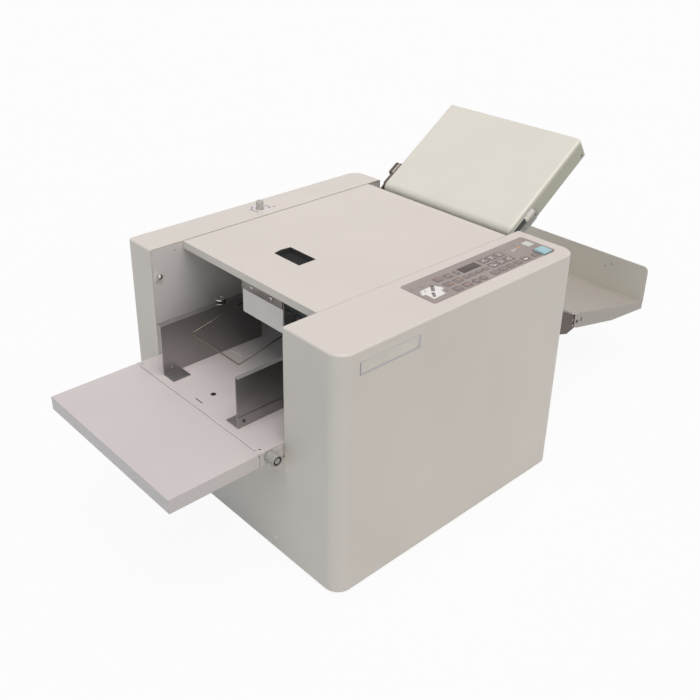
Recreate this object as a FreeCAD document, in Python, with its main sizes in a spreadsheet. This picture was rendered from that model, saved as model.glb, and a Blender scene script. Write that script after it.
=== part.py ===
import FreeCAD, Part
import math
import os

import Sketcher
from FreeCAD import Placement, Rotation, Vector

# Desk-top paper folding machine, in millimetres.
# Paper travels along +X, from the feed table to the exit tray.
# The operator stands at -Y and +Z is up. The origin is on the surface that the
# four feet stand on, under the middle of the whole length, flap and tray included.
# Sub-parts are drawn about the middle of the housing, then moved by MIDDLE.

SIZES = {
    # housing
    "body_length": 566.0,
    "body_width": 568.0,
    "cover_height": 444.0,
    "foot_height": 8.0,
    "foot_radius": 15.0,
    "foot_inset": 52.0,
    "front_cover_depth": 127.0,
    "back_cover_depth": 74.0,
    "shell_wall": 2.5,
    "corner_radius": 28.0,
    "back_feed_radius": 7.0,
    "top_edge_radius": 3.5,
    "frame_thick": 3.0,
    "base_thick": 3.0,
    "side_gap": 1.5,
    "sheet_thick": 1.5,
    "stay_radius": 5.0,
    "stay_inset": 40.0,
    "upper_stay_drop": 44.0,
    "lower_stay_drop": 150.0,
    "stud_radius": 5.0,
    "pin_head": 2.0,
    "running_gap": 0.05,
    "free_gap": 0.3,
    # feed table and flap
    "table_height": 242.0,
    "table_depth": 25.0,
    "table_overhang": 47.5,
    "table_end": 6.0,
    "seam_gap": 2.6,
    "flap_pin_radius": 0.75,
    "flap_pin_drop": 1.1,
    "knuckle_radius": 2.4,
    "flap_length": 167.0,
    "lift_travel": 75.0,
    "lift_rod_radius": 5.0,
    "lift_rod_offset": 16.0,
    "lift_rod_place": -60.0,
    "ear_length": 24.0,
    "ear_height": 14.0,
    # side guides
    "paper_shift": 5.5,
    "paper_width": 216.0,
    "guide_height": 98.0,
    "guide_setback": 14.5,
    "guide_length": 220.0,
    "back_flange": 14.0,
    "front_flange": 9.0,
    "guide_tab_length": 36.0,
    "guide_tab_width": 30.0,
    "guide_foot_height": 20.0,
    "guide_out_travel": 46.0,
    "guide_in_travel": 33.0,
    "pinion_setback": 140.5,
    "rack_module": 2.0,
    "pinion_teeth": 12.0,
    "rack_thick": 8.0,
    "rack_depth": 9.0,
    "lock_knob_radius": 10.0,
    "lock_knob_height": 9.0,
    "lock_knob_setback": 133.0,
    # skew knob
    "skew_radius": 11.5,
    "skew_length": 20.0,
    "skew_setback": 17.5,
    "skew_drop": 10.0,
    "spindle_radius": 4.0,
    # lid
    "lid_setback": 68.5,
    "lid_length": 461.0,
    "lid_depth": 14.0,
    "lid_drop": 0.8,
    "lid_pin_radius": 3.0,
    "pull_setback": 90.5,
    "pull_length": 37.0,
    "pull_width": 66.0,
    "pull_depth": 12.0,
    "pull_wall": 1.6,
    # separator, sheet stop and wire bail
    "bridge_setback": 42.5,
    "bridge_length": 34.0,
    "bridge_height": 14.0,
    "plate_width": 112.0,
    "plate_low": 344.0,
    "plate_high": 408.0,
    "plate_thick": 2.8,
    "strip_height": 17.0,
    "strip_screw_radius": 3.2,
    "strip_screw_pitch": 54.0,
    "wire_radius": 1.25,
    "bail_pivot_setback": 22.0,
    "bail_pivot_rise": 14.0,
    "bail_reach": 129.0,
    "bail_drop": 28.0,
    "bail_width": 136.0,
    # feed roller
    "feed_place": 4.0,
    "tire_radius": 22.0,
    "tire_width": 22.0,
    "tire_pitch": 46.0,
    "shaft_radius": 6.0,
    "stack_top": 327.0,
    "infeed_top": 16.0,
    "infeed_slope": 30.0,
    "infeed_dip": 36.0,
    "infeed_end": 20.0,
    "infeed_rise": 7.0,
    # fold rollers
    "nip_place": 90.0,
    "gear_module": 2.0,
    "gear_teeth": 21.0,
    "gear_width": 8.0,
    "nip_gap": 0.6,
    "second_nip_angle": -6.0,
    "journal_radius": 8.0,
    "bush_wall": 2.5,
    # upper fold plate
    "fold_setback": 19.0,
    "fold_height": 445.0,
    "fold_angle": 34.4,
    "fold_length": 249.0,
    "fold_front_gap": 11.0,
    "fold_back_gap": 20.0,
    "fold_thick": 38.0,
    "fold_edge_radius": 18.0,
    "fold_side_radius": 8.0,
    "fold_wall": 2.0,
    "fold_side_wall": 4.5,
    "pocket_drop": 24.0,
    "pocket_gap": 3.0,
    "pocket_inside": 200.0,
    "rail_thick": 3.0,
    "rail_tail": 60.0,
    "rail_length": 78.0,
    "rail_depth": 36.0,
    "rail_lip": 4.0,
    "latch_cap_place": 43.0,
    "latch_cap_length": 30.0,
    "latch_cap_depth": 8.0,
    "latch_strip_depth": 5.0,
    "stop_place": 120.0,
    "stop_width": 150.0,
    "stop_bar": 8.0,
    "stop_block": 24.0,
    # lower fold plate
    "lower_plate_length": 215.0,
    # exit tray
    "exit_height": 253.0,
    "tray_setout": 224.0,
    "tray_start_height": 199.0,
    "tray_angle": -13.6,
    "tray_length": 298.0,
    "tray_wall_height": 89.0,
    "tray_pin_along": 16.0,
    "tray_pin_below": 23.0,
    "tray_pin_radius": 3.0,
    "arm_thick": 3.0,
    # control panel
    "panel_rear_gap": 24.0,
    "panel_length": 316.0,
    "panel_setback": 28.0,
    "panel_width": 77.0,
    "panel_thick": 0.8,
    "start_key_inset": 33.0,
    "start_key_setback": 1.0,
    "start_key_size": 23.0,
    "stop_key_inset": 28.0,
    "stop_key_setback": 39.0,
    "stop_key_size": 18.0,
    "key_travel": 1.2,
    # knob on the back cover
    "knob_radius": 7.5,
    "knob_height": 17.0,
    "knob_x": -14.5,
    "knob_inset": 42.0,
    # drive
    "motor_x": 20.0,
    "motor_z": 100.0,
    "motor_radius": 30.0,
    "motor_pulley_radius": 10.0,
    "drive_pulley_radius": 17.0,
    "belt_width": 8.0,
    "belt_thick": 1.6,
    # mains inlet and switch
    "inlet_inset": 60.0,
    "inlet_z": 46.0,
}

doc = FreeCAD.newDocument("paper_folding_machine")


class Size:
    """A length that knows its present value and its formula in the sheet."""

    def __init__(self, value, text=None):
        self.value = float(value)
        self.text = text if text else f"({float(value)!r})"

    def __add__(self, other):
        other = sized(other)
        return Size(self.value + other.value, f"({self.text} + {other.text})")

    def __sub__(self, other):
        other = sized(other)
        return Size(self.value - other.value, f"({self.text} - {other.text})")

    def __mul__(self, other):
        other = sized(other)
        return Size(self.value * other.value, f"({self.text} * {other.text})")

    def __truediv__(self, other):
        other = sized(other)
        return Size(self.value / other.value, f"({self.text} / {other.text})")

    def __neg__(self):
        return Size(-self.value, f"(-1 * {self.text})")

    __radd__ = __add__

    def __rsub__(self, other):
        return sized(other) - self

    def __rmul__(self, other):
        return self * other


def sized(value):
    """Take a plain number or a Size and give a Size."""
    return value if isinstance(value, Size) else Size(value)


def cosine(angle):
    """Cosine of a Size that holds degrees."""
    angle = sized(angle)
    return Size(math.cos(math.radians(angle.value)), f"cos({angle.text} * 1 deg)")


def sine(angle):
    """Sine of a Size that holds degrees."""
    angle = sized(angle)
    return Size(math.sin(math.radians(angle.value)), f"sin({angle.text} * 1 deg)")


def make_sheet():
    """Write the driving dimensions to the sheet and give them as Sizes."""
    sheet = doc.addObject("Spreadsheet::Sheet", "Sizes")
    for row, (name, value) in enumerate(SIZES.items(), start=1):
        sheet.set(f"A{row}", name)
        sheet.set(f"B{row}", str(value))
        sheet.setAlias(f"B{row}", name)
    doc.recompute()
    return {name: Size(value, f"Sizes.{name}") for name, value in SIZES.items()}


class Named:
    """The driving dimensions as attributes."""

    def __init__(self, sizes):
        self.__dict__.update(sizes)


s = Named(make_sheet())

# Planes of the housing
FEED = -s.body_length / 2
REAR = s.body_length / 2
FRONT = -s.body_width / 2
BACK = s.body_width / 2
WELL_FRONT = FRONT + s.front_cover_depth
WELL_BACK = BACK - s.back_cover_depth
BOTTOM = s.foot_height
TOP = s.foot_height + s.cover_height
BASE_TOP = BOTTOM + s.base_thick
CEILING = TOP - s.shell_wall
INSIDE_FRONT = WELL_FRONT + s.side_gap
INSIDE_BACK = WELL_BACK - s.side_gap
FRAME_FRONT = WELL_FRONT - s.frame_thick
FRAME_BACK = WELL_BACK + s.frame_thick
PAPER_CENTRE = (WELL_FRONT + WELL_BACK) / 2 + s.paper_shift

# Feed table
TABLE_TOP = s.table_height
TABLE_UNDER = s.table_height - s.sheet_thick
TABLE_LOW = s.table_height - s.table_depth
SEAM = FEED - s.table_overhang
SKEW_X = SEAM + s.skew_setback
GUIDE_START = SEAM + s.guide_setback
GUIDE_END = GUIDE_START + s.guide_length
LOCK_X = GUIDE_START + s.lock_knob_setback
PINION_X = SEAM + s.pinion_setback
GUIDE_BACK = PAPER_CENTRE + s.paper_width / 2
GUIDE_FRONT = PAPER_CENTRE - s.paper_width / 2
GUIDE_LOW = TABLE_TOP + s.free_gap
GUIDE_TOP = TABLE_TOP + s.guide_height
PINION_RADIUS = s.rack_module * s.pinion_teeth / 2
RACK_HIGH = TABLE_UNDER - s.free_gap * 3
RACK_LOW = RACK_HIGH - s.rack_thick

# Lid
LID_FEED = FEED + s.lid_setback
LID_REAR = LID_FEED + s.lid_length
LID_TOP = TOP - s.lid_drop
LID_LOW = LID_TOP - s.lid_depth
LID_PIN_X = LID_REAR - 8
LID_PIN_Z = LID_LOW + s.lid_depth / 2
PULL_START = LID_FEED + s.pull_setback
BRIDGE_START = LID_FEED + s.bridge_setback
BAIL_X = BRIDGE_START + s.bail_pivot_setback
BAIL_Z = s.plate_low + s.bail_pivot_rise

# Upper fold plate: its top face rises along this direction
FOLD_X = REAR - s.fold_setback
FOLD_FRONT = WELL_FRONT + s.fold_front_gap
FOLD_BACK = WELL_BACK - s.fold_back_gap
FOLD_COS = cosine(s.fold_angle)
FOLD_SIN = sine(s.fold_angle)


def on_fold_plate(along, normal):
    """World X and Z of a point given along and square to the fold plate."""
    along = sized(along)
    normal = sized(normal)
    x = FOLD_X + along * FOLD_COS - normal * FOLD_SIN
    z = s.fold_height + along * FOLD_SIN + normal * FOLD_COS
    return x, z


STAY_DROP = -s.pocket_drop - s.pocket_gap / 2 - s.sheet_thick - s.free_gap - s.stay_radius

# The first nip lies on the fold plate's pocket line.
CENTRES = s.gear_module * s.gear_teeth
ROLLER_RADIUS = (CENTRES - s.nip_gap) / 2
POCKET_X, POCKET_Z = on_fold_plate(0, -s.pocket_drop)
NIP_ALONG = (s.nip_place - POCKET_X) / FOLD_COS
NIP_Z = POCKET_Z + NIP_ALONG * FOLD_SIN
ROLLERS = {
    1: (s.nip_place - CENTRES * FOLD_SIN / 2, NIP_Z + CENTRES * FOLD_COS / 2),
    2: (s.nip_place + CENTRES * FOLD_SIN / 2, NIP_Z - CENTRES * FOLD_COS / 2),
}
ROLLERS[3] = (
    ROLLERS[2][0] + CENTRES * cosine(s.second_nip_angle),
    ROLLERS[2][1] + CENTRES * sine(s.second_nip_angle),
)
ROLLERS[4] = (ROLLERS[3][0], ROLLERS[3][1] - CENTRES)
GEAR_LOW = FRAME_BACK + 4
GEAR_HIGH = GEAR_LOW + s.gear_width
FEED_Z = s.stack_top + s.tire_radius
EXIT_X = REAR - 22
EXIT_WHEEL_RADIUS = sized(13)
EXIT_Z = s.exit_height + EXIT_WHEEL_RADIUS

# Exit tray
TRAY_X = REAR + s.tray_setout
TRAY_PIN_X = TRAY_X + s.tray_pin_along
TRAY_PIN_Z = s.tray_start_height - s.tray_pin_below
TRAY_COS = cosine(s.tray_angle)
TRAY_SIN = sine(s.tray_angle)


def on_tray(along, normal):
    """World X and Z of a point given along and square to the tray's floor."""
    along = sized(along)
    normal = sized(normal)
    x = TRAY_X + along * TRAY_COS - normal * TRAY_SIN
    z = s.tray_start_height + along * TRAY_SIN + normal * TRAY_COS
    return x, z


TRAY_END = on_tray(s.tray_length, 0)[0] + s.sheet_thick
MIDDLE = (SEAM - s.seam_gap / 2 - s.flap_length + TRAY_END) / 2

# Control panel
PANEL_END = REAR - s.panel_rear_gap
PANEL_START = PANEL_END - s.panel_length
PANEL_FRONT = FRONT + s.panel_setback
PANEL_BACK = PANEL_FRONT + s.panel_width
PANEL_TOP = TOP + s.panel_thick
START_KEY = (PANEL_END - s.start_key_inset, PANEL_FRONT + s.start_key_setback, s.start_key_size)
STOP_KEY = (PANEL_END - s.stop_key_inset, PANEL_FRONT + s.stop_key_setback, s.stop_key_size)
KNOB_Y = BACK - s.knob_inset
INLET_Y = WELL_BACK - s.inlet_inset

# Sides of the small round pieces
PIN_SIDES = 12
FOOT_SIDES = 16
KNOB_SIDES = 24
TIRE_SIDES = 32

finished = []


def bind(obj, prop, size):
    """Bind one property of an object to a formula in the sheet."""
    obj.setExpression(prop, sized(size).text)


def finish(obj, label):
    """Give a sub-part its name and put it on the list to write."""
    obj.Label = label
    finished.append(obj)
    return obj


# ---------------------------------------------------------------- sketches

PLANES = {"XY": ("XY_Plane", 1), "XZ": ("XZ_Plane", -1), "YZ": ("YZ_Plane", 1)}


class Circle:
    """A round loop of a sketch."""

    def __init__(self, u, v, radius):
        self.u = sized(u)
        self.v = sized(v)
        self.radius = sized(radius)


def rect(u_low, u_high, v_low, v_high):
    """Four corners of a rectangle."""
    return [(u_low, v_low), (u_high, v_low), (u_high, v_high), (u_low, v_high)]


def many_sided(u, v, radius, sides, turn=0):
    """Corners of a regular polygon inside a circle."""
    corners = []
    for i in range(sides):
        angle = sized(360 * i / sides) - turn
        corners.append((u + radius * cosine(angle), v + radius * sine(angle)))
    return corners


def small_bore(u, v, radius, sides=PIN_SIDES):
    """Corners of a regular polygon outside a circle, for a pin that turns in it."""
    return many_sided(u, v, radius / math.cos(math.pi / sides), sides)


def hold(sketch, kind, geometry, point, size):
    """Fix one coordinate of a sketch point and bind it to the sheet."""
    size = sized(size)
    constraint = Sketcher.Constraint(kind, -1, 1, geometry, point, size.value)
    index = sketch.addConstraint(constraint)
    bind(sketch, f"Constraints[{index}]", size)


def draw_circle(sketch, loop):
    """Add a circle with its centre and radius bound."""
    centre = Vector(loop.u.value, loop.v.value, 0)
    index = sketch.addGeometry(Part.Circle(centre, Vector(0, 0, 1), loop.radius.value))
    hold(sketch, "DistanceX", index, 3, loop.u)
    hold(sketch, "DistanceY", index, 3, loop.v)
    radius = sketch.addConstraint(Sketcher.Constraint("Radius", index, loop.radius.value))
    bind(sketch, f"Constraints[{radius}]", loop.radius)


def draw_loop(sketch, corners):
    """Add a closed straight-sided loop with every corner bound."""
    corners = [(sized(u), sized(v)) for u, v in corners]
    count = len(corners)
    first = sketch.GeometryCount
    for i, (u, v) in enumerate(corners):
        end_u, end_v = corners[(i + 1) % count]
        start = Vector(u.value, v.value, 0)
        sketch.addGeometry(Part.LineSegment(start, Vector(end_u.value, end_v.value, 0)))
    for i in range(count):
        following = first + (i + 1) % count
        sketch.addConstraint(Sketcher.Constraint("Coincident", first + i, 2, following, 1))
    for i, (u, v) in enumerate(corners):
        hold(sketch, "DistanceX", first + i, 1, u)
        hold(sketch, "DistanceY", first + i, 1, v)


def new_sketch(body, plane, level, loops):
    """Draw loops on a plane that is parallel to one of the body's own planes."""
    role, sign = PLANES[plane]
    support = [f for f in body.Origin.OriginFeatures if f.Role == role][0]
    sketch = body.newObject("Sketcher::SketchObject", f"{body.Name}_sketch")
    sketch.AttachmentSupport = [(support, "")]
    sketch.MapMode = "FlatFace"
    bind(sketch, "AttachmentOffset.Base.z", sized(level) * sign)
    for loop in loops:
        if isinstance(loop, Circle):
            draw_circle(sketch, loop)
        else:
            draw_loop(sketch, loop)
    return sketch


# ---------------------------------------------------------------- solids


def new_body(label):
    """Start a sub-part as a PartDesign body."""
    body = doc.addObject("PartDesign::Body", label)
    return finish(body, label)


def pad(body, plane, low, high, *loops):
    """Add material between two levels of a plane."""
    low, high = sized(low), sized(high)
    feature = body.newObject("PartDesign::Pad", f"{body.Name}_pad")
    feature.Profile = new_sketch(body, plane, low, loops)
    bind(feature, "Length", high - low)
    feature.Reversed = plane == "XZ"
    body.Tip = feature
    doc.recompute()
    return feature


def pocket(body, plane, low, high, *loops):
    """Take material away between two levels of a plane."""
    low, high = sized(low), sized(high)
    before = body.Shape.Volume
    feature = body.newObject("PartDesign::Pocket", f"{body.Name}_pocket")
    feature.Profile = new_sketch(body, plane, low, loops)
    bind(feature, "Length", high - low)
    feature.Reversed = plane != "XZ"
    body.Tip = feature
    doc.recompute()
    if body.Shape.Volume > before - 1e-3:
        raise RuntimeError(f"{body.Label}: a pocket cuts nothing")
    return feature


def dress_edges(body, kind, prop, size, chosen):
    """Round or bevel the edges that the test picks."""
    base = body.Tip
    names = [f"Edge{i}" for i, edge in enumerate(base.Shape.Edges, start=1) if chosen(edge)]
    feature = body.newObject(f"PartDesign::{kind}", f"{body.Name}_{kind}")
    feature.Base = (base, names)
    bind(feature, prop, size)
    body.Tip = feature
    doc.recompute()
    return feature


def round_edges(body, radius, chosen):
    """Round the edges that the test picks."""
    return dress_edges(body, "Fillet", "Radius", radius, chosen)


def bevel_edges(body, size, chosen):
    """Bevel the edges that the test picks."""
    return dress_edges(body, "Chamfer", "Size", size, chosen)


def hollow(body, wall, chosen):
    """Make a shell that is open at the faces the test picks."""
    base = body.Tip
    names = [f"Face{i}" for i, face in enumerate(base.Shape.Faces, start=1) if chosen(face)]
    feature = body.newObject("PartDesign::Thickness", f"{body.Name}_shell")
    feature.Base = (base, names)
    feature.Mode = 0
    feature.Join = 0
    feature.Reversed = False
    bind(feature, "Value", wall)
    body.Tip = feature
    doc.recompute()
    if body.Shape.BoundBox.DiagonalLength > base.Shape.BoundBox.DiagonalLength + 0.01:
        feature.Reversed = True
        doc.recompute()
    return feature


def near(value, size):
    """Is a measured value equal to a size?"""
    return abs(value - sized(size).value) < 1e-4


def runs_along(edge, axis):
    """Is the edge straight and parallel to X, Y or Z?"""
    box = edge.BoundBox
    spans = {"X": box.XLength, "Y": box.YLength, "Z": box.ZLength}
    return spans[axis] > 1e-4 and sum(spans.values()) - spans[axis] < 1e-4


def faces_to(face, x, y, z):
    """Does a flat face look along the given direction?"""
    if face.Surface.TypeId != "Part::GeomPlane":
        return False
    return face.normalAt(0, 0).dot(Vector(x, y, z)) > 0.999


def block(label, x_low, x_high, y_low, y_high, z_low, z_high):
    """A box between two corners."""
    box = doc.addObject("Part::Box", label)
    lows = [sized(v) for v in (x_low, y_low, z_low)]
    highs = [sized(v) for v in (x_high, y_high, z_high)]
    for prop, low, high in zip(("Length", "Width", "Height"), lows, highs):
        bind(box, prop, high - low)
    for axis, low in zip("xyz", lows):
        bind(box, f"Placement.Base.{axis}", low)
    return box


TURNS = {
    "X": Rotation(Vector(0, 1, 0), 90),
    "Y": Rotation(Vector(1, 0, 0), -90),
    "Z": Rotation(),
}


def rod(label, axis, u, v, low, high, radius, sides=0):
    """A cylinder or prism along X (u=y, v=z), Y (u=x, v=z) or Z (u=x, v=y)."""
    kind, prop = ("Part::Prism", "Circumradius") if sides else ("Part::Cylinder", "Radius")
    solid = doc.addObject(kind, label)
    if sides:
        solid.Polygon = sides
    solid.Placement = Placement(Vector(), TURNS[axis])
    bases = {"X": (low, u, v), "Y": (u, low, v), "Z": (u, v, low)}[axis]
    for name, base in zip("xyz", bases):
        bind(solid, f"Placement.Base.{name}", base)
    bind(solid, prop, radius)
    bind(solid, "Height", sized(high) - sized(low))
    return solid


def group(label, pieces):
    """Several separate solids of one kind in one node."""
    compound = doc.addObject("Part::Compound", label)
    compound.Links = pieces
    return finish(compound, label)


def join(label, pieces):
    """One solid made of several."""
    fused = doc.addObject("Part::MultiFuse", label)
    fused.Shapes = pieces
    fused.Refine = True
    return fused


def cut(label, base, tools):
    """A solid less some others."""
    result = doc.addObject("Part::Cut", label)
    result.Base = base
    result.Tool = tools[0] if len(tools) == 1 else join(f"{label}_tools", tools)
    return result


# ---------------------------------------------------------------- housing


def shell_cover(label, outer, inner, feed_radius):
    """A side cover: a shell open towards the well and below."""
    body = new_body(label)
    low, high = (outer, inner) if outer.value < inner.value else (inner, outer)
    pad(body, "XY", BOTTOM, TOP, rect(FEED, REAR, low, high))

    def corner(edge, x):
        centre = edge.CenterOfMass
        return runs_along(edge, "Z") and near(centre.x, x) and near(centre.y, outer)

    round_edges(body, feed_radius, lambda edge: corner(edge, FEED))
    round_edges(body, s.corner_radius, lambda edge: corner(edge, REAR))
    side = 1 if inner.value > outer.value else -1
    hollow(body, s.shell_wall, lambda f: faces_to(f, 0, side, 0) or faces_to(f, 0, 0, -1))

    def outer_rim(edge):
        box = edge.BoundBox
        on_top = near(box.ZMin, TOP) and near(box.ZMax, TOP)
        inside = near(box.YMin, inner) and near(box.YMax, inner)
        return on_top and not inside

    round_edges(body, s.top_edge_radius, outer_rim)
    return body


def front_cover():
    """Operator-side cover, with the wells of the two raised keys."""
    body = shell_cover("front_cover", FRONT, WELL_FRONT, s.corner_radius)
    pocket(body, "XY", CEILING - 1, TOP + 1, key_window(*START_KEY), key_window(*STOP_KEY))


def key_window(x, y, size):
    """The opening round a raised key."""
    return rect(x - s.free_gap, x + size + s.free_gap, y - s.free_gap, y + size + s.free_gap)


def back_cover():
    """Far-side cover, with the hole for the knob's spindle."""
    body = shell_cover("back_cover", BACK, WELL_BACK, s.back_feed_radius)
    hole = small_bore(s.knob_x, KNOB_Y, s.spindle_radius + s.running_gap)
    pocket(body, "XY", CEILING - 1, TOP + 1, hole)


def frame_holes():
    """Holes that both side frames have for shafts, pins and the table's ears."""
    journal = s.journal_radius + s.running_gap
    shaft = s.shaft_radius + s.running_gap
    holes = [small_bore(x, z, journal, KNOB_SIDES) for x, z in ROLLERS.values()]
    holes.append(small_bore(s.feed_place, FEED_Z, shaft, KNOB_SIDES))
    holes.append(small_bore(EXIT_X, EXIT_Z, shaft, KNOB_SIDES))
    holes.append(many_sided(LID_PIN_X, LID_PIN_Z, s.lid_pin_radius, PIN_SIDES))
    ear_low = TABLE_UNDER - 6 - s.ear_height
    slot_low = ear_low - 3
    slot_high = ear_low + s.ear_height + s.lift_travel + 3
    half = s.ear_length / 2 + s.side_gap
    holes.append(rect(s.lift_rod_place - half, s.lift_rod_place + half, slot_low, slot_high))
    return holes


def bore_frame(body, low, high):
    """Cut every shaft and pin hole through a side frame, a few in each sketch."""
    holes = frame_holes()
    for first in range(0, len(holes), 3):
        pocket(body, "XZ", low - 1, high + 1, *holes[first:first + 3])


def side_frames():
    """The two steel plates that close the covers and carry every shaft."""
    end = FEED + s.shell_wall
    outline = [(end, BASE_TOP), (-end, BASE_TOP), (-end, CEILING - 1.5), (-end - 1.5, CEILING),
               (end + 1.5, CEILING), (end, CEILING - 1.5)]
    front = new_body("front_side_frame")
    pad(front, "XZ", FRAME_FRONT, WELL_FRONT, outline)
    bore_frame(front, FRAME_FRONT, WELL_FRONT)
    back = new_body("back_side_frame")
    pad(back, "XZ", WELL_BACK, FRAME_BACK, outline)
    bore_frame(back, WELL_BACK, FRAME_BACK)
    small = [many_sided(FEED + 51, TOP - 14, 1.6, PIN_SIDES), many_sided(FEED + 8, TOP - 65, 1.2, PIN_SIDES)]
    pocket(back, "XZ", WELL_BACK - 1, FRAME_BACK + 1, *small)


def base_plate():
    """The floor of the housing."""
    body = new_body("base_plate")
    wall = s.shell_wall
    outline = rect(FEED + wall, REAR - wall, FRONT + wall, BACK - wall)
    pad(body, "XY", BOTTOM, BASE_TOP, outline)

    def corner(edge, small):
        centre = edge.CenterOfMass
        at_small = centre.x < 0 and centre.y > 0
        return runs_along(edge, "Z") and at_small == small

    round_edges(body, s.corner_radius - wall, lambda edge: corner(edge, False))
    round_edges(body, s.back_feed_radius - wall, lambda edge: corner(edge, True))


def feet():
    """Four rubber feet."""
    pieces = []
    for x in (FEED + s.foot_inset, REAR - s.foot_inset):
        for y in (FRONT + s.foot_inset, BACK - s.foot_inset):
            pieces.append(rod("foot", "Z", x, y, 0, s.foot_height, s.foot_radius, FOOT_SIDES))
    group("feet", pieces)


def end_panels():
    """The panels that close the well below the table and round the exit."""
    feed = new_body("lower_feed_panel")
    top = TABLE_LOW - 4
    pad(feed, "YZ", FEED, FEED + s.shell_wall, rect(WELL_FRONT, WELL_BACK, BOTTOM, top))
    rear = new_body("delivery_panel")
    panel_top = s.fold_height - s.fold_thick * FOLD_COS - 9
    outline = rect(WELL_FRONT, WELL_BACK, BOTTOM, panel_top)
    window = rect(WELL_FRONT + 8, WELL_BACK - 8, s.exit_height - 48, s.exit_height + 65)
    inlet = inlet_window(INLET_Y, s.inlet_z)
    pad(rear, "YZ", REAR - s.shell_wall, REAR, outline, window, inlet)


def inlet_window(y, z):
    """The opening round the mains inlet."""
    return rect(y - 30, y + 26, z - 14, z + 14)


def cross_stays():
    """Hexagonal bars that tie the frames and carry the upper fold plate."""
    upper = on_fold_plate(-s.upper_stay_drop, STAY_DROP)
    lower = on_fold_plate(-s.lower_stay_drop, STAY_DROP)
    height = s.foot_height + s.stay_inset
    places = [upper, lower, (REAR - s.stay_inset, height), (FEED + s.stay_inset, height)]
    pieces = [rod("stay", "Y", x, z, WELL_FRONT, WELL_BACK, s.stay_radius, 6) for x, z in places]
    group("cross_stays", pieces)


# ---------------------------------------------------------------- feed table


def pan(label, x_low, x_high, low, high):
    """A folded sheet-metal pan that is open below."""
    body = new_body(label)
    pad(body, "XY", low, high, rect(x_low, x_high, INSIDE_FRONT, INSIDE_BACK))
    hollow(body, s.sheet_thick, lambda face: faces_to(face, 0, 0, -1))
    return body


def rack_slot(x, y_low, y_high):
    """The slot in the table that a guide's post runs in."""
    half = sized(3.5)
    return rect(x - half, x + half, y_low, y_high)


def feed_table():
    """The table between the covers, with ears that ride on the lift rods."""
    body = pan("feed_table", SEAM + s.seam_gap / 2, s.table_end, TABLE_LOW, TABLE_TOP)
    out_y = s.guide_out_travel + 5
    in_y = s.guide_in_travel + 5
    back_slot = rack_slot(PINION_X + 18, GUIDE_BACK - in_y, GUIDE_BACK + out_y)
    front_slot = rack_slot(PINION_X - 18, GUIDE_FRONT - out_y, GUIDE_FRONT + in_y)
    pivot = small_bore(PINION_X, PAPER_CENTRE, s.spindle_radius + s.running_gap)
    round_hole = many_sided(FEED - 3, PAPER_CENTRE + 1, 3.2, KNOB_SIDES)
    thin_slot = rect(FEED - 34, FEED - 32.4, PAPER_CENTRE - 8, PAPER_CENTRE + 8)
    pocket(body, "XY", TABLE_UNDER - 1, TABLE_TOP + 1, back_slot, front_slot, pivot, round_hole, thin_slot)
    # tab below the skew knob and the knob's bearing hole
    tab = [(SEAM + 22, TABLE_LOW - 22), (FEED - 4, TABLE_LOW - 22), (FEED - 4, TABLE_TOP - 4),
           (SEAM + 22, TABLE_TOP - 4)]
    pad(body, "XZ", WELL_FRONT, INSIDE_FRONT, tab)
    hole = small_bore(SKEW_X, TABLE_TOP - s.skew_drop, s.spindle_radius + s.running_gap)
    pocket(body, "XZ", WELL_FRONT - 1, INSIDE_FRONT + s.sheet_thick + 1, hole)
    # hinge lugs outside, and notches for the flap's lugs inside
    pin = many_sided(SEAM, TABLE_TOP - s.flap_pin_drop, s.flap_pin_radius, PIN_SIDES)
    for low, high, notch_low in ((INSIDE_FRONT, INSIDE_FRONT + 2, INSIDE_FRONT + 2),
                                 (INSIDE_BACK - 2, INSIDE_BACK, INSIDE_BACK - 13)):
        pad(body, "XZ", low, high, hinge_profile(1), pin)
        pocket(body, "XZ", notch_low, notch_low + 11, hinge_notch(1))
    # ears through the frames' slots
    half = s.ear_length / 2
    ear_high = TABLE_UNDER - 6
    ear = rect(s.lift_rod_place - half, s.lift_rod_place + half, ear_high - s.ear_height, ear_high)
    reach = s.lift_rod_offset + 10
    pad(body, "XZ", WELL_FRONT - reach, INSIDE_FRONT + s.sheet_thick, ear)
    pad(body, "XZ", INSIDE_BACK - s.sheet_thick, WELL_BACK + reach, ear)
    bore = s.lift_rod_radius + s.running_gap
    pocket(body, "XY", ear_high - s.ear_height - 1, ear_high + 1,
           small_bore(s.lift_rod_place, WELL_FRONT - s.lift_rod_offset, bore),
           small_bore(s.lift_rod_place, WELL_BACK + s.lift_rod_offset, bore))


def hinge_profile(side):
    """Half-round lug about the flap's hinge pin, seen from the front."""
    z = TABLE_TOP - s.flap_pin_drop
    edge = SEAM + s.seam_gap / 2 * side
    return [(edge, TABLE_TOP), (edge, z - s.knuckle_radius), (SEAM - side * sized(0.6), z - s.knuckle_radius),
            (SEAM - side * sized(2.1), z - 1.2), (SEAM - side * sized(2.1), z + 0.2),
            (SEAM - side * sized(1.4), TABLE_TOP)]


def hinge_notch(side):
    """Room in one pan's end for the lug of the other."""
    low = SEAM + side * sized(0.4)
    high = SEAM + side * sized(4.2)
    edges = (low, high) if side > 0 else (high, low)
    return rect(*edges, TABLE_TOP - 5.2, TABLE_TOP + 1)


def lift_rods():
    """The two screws that the table rises on."""
    top = TABLE_TOP + s.lift_travel + 20
    pieces = [rod("lift_rod", "Z", s.lift_rod_place, y, BASE_TOP, top, s.lift_rod_radius, PIN_SIDES)
              for y in (WELL_FRONT - s.lift_rod_offset, WELL_BACK + s.lift_rod_offset)]
    group("lift_rods", pieces)


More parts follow.
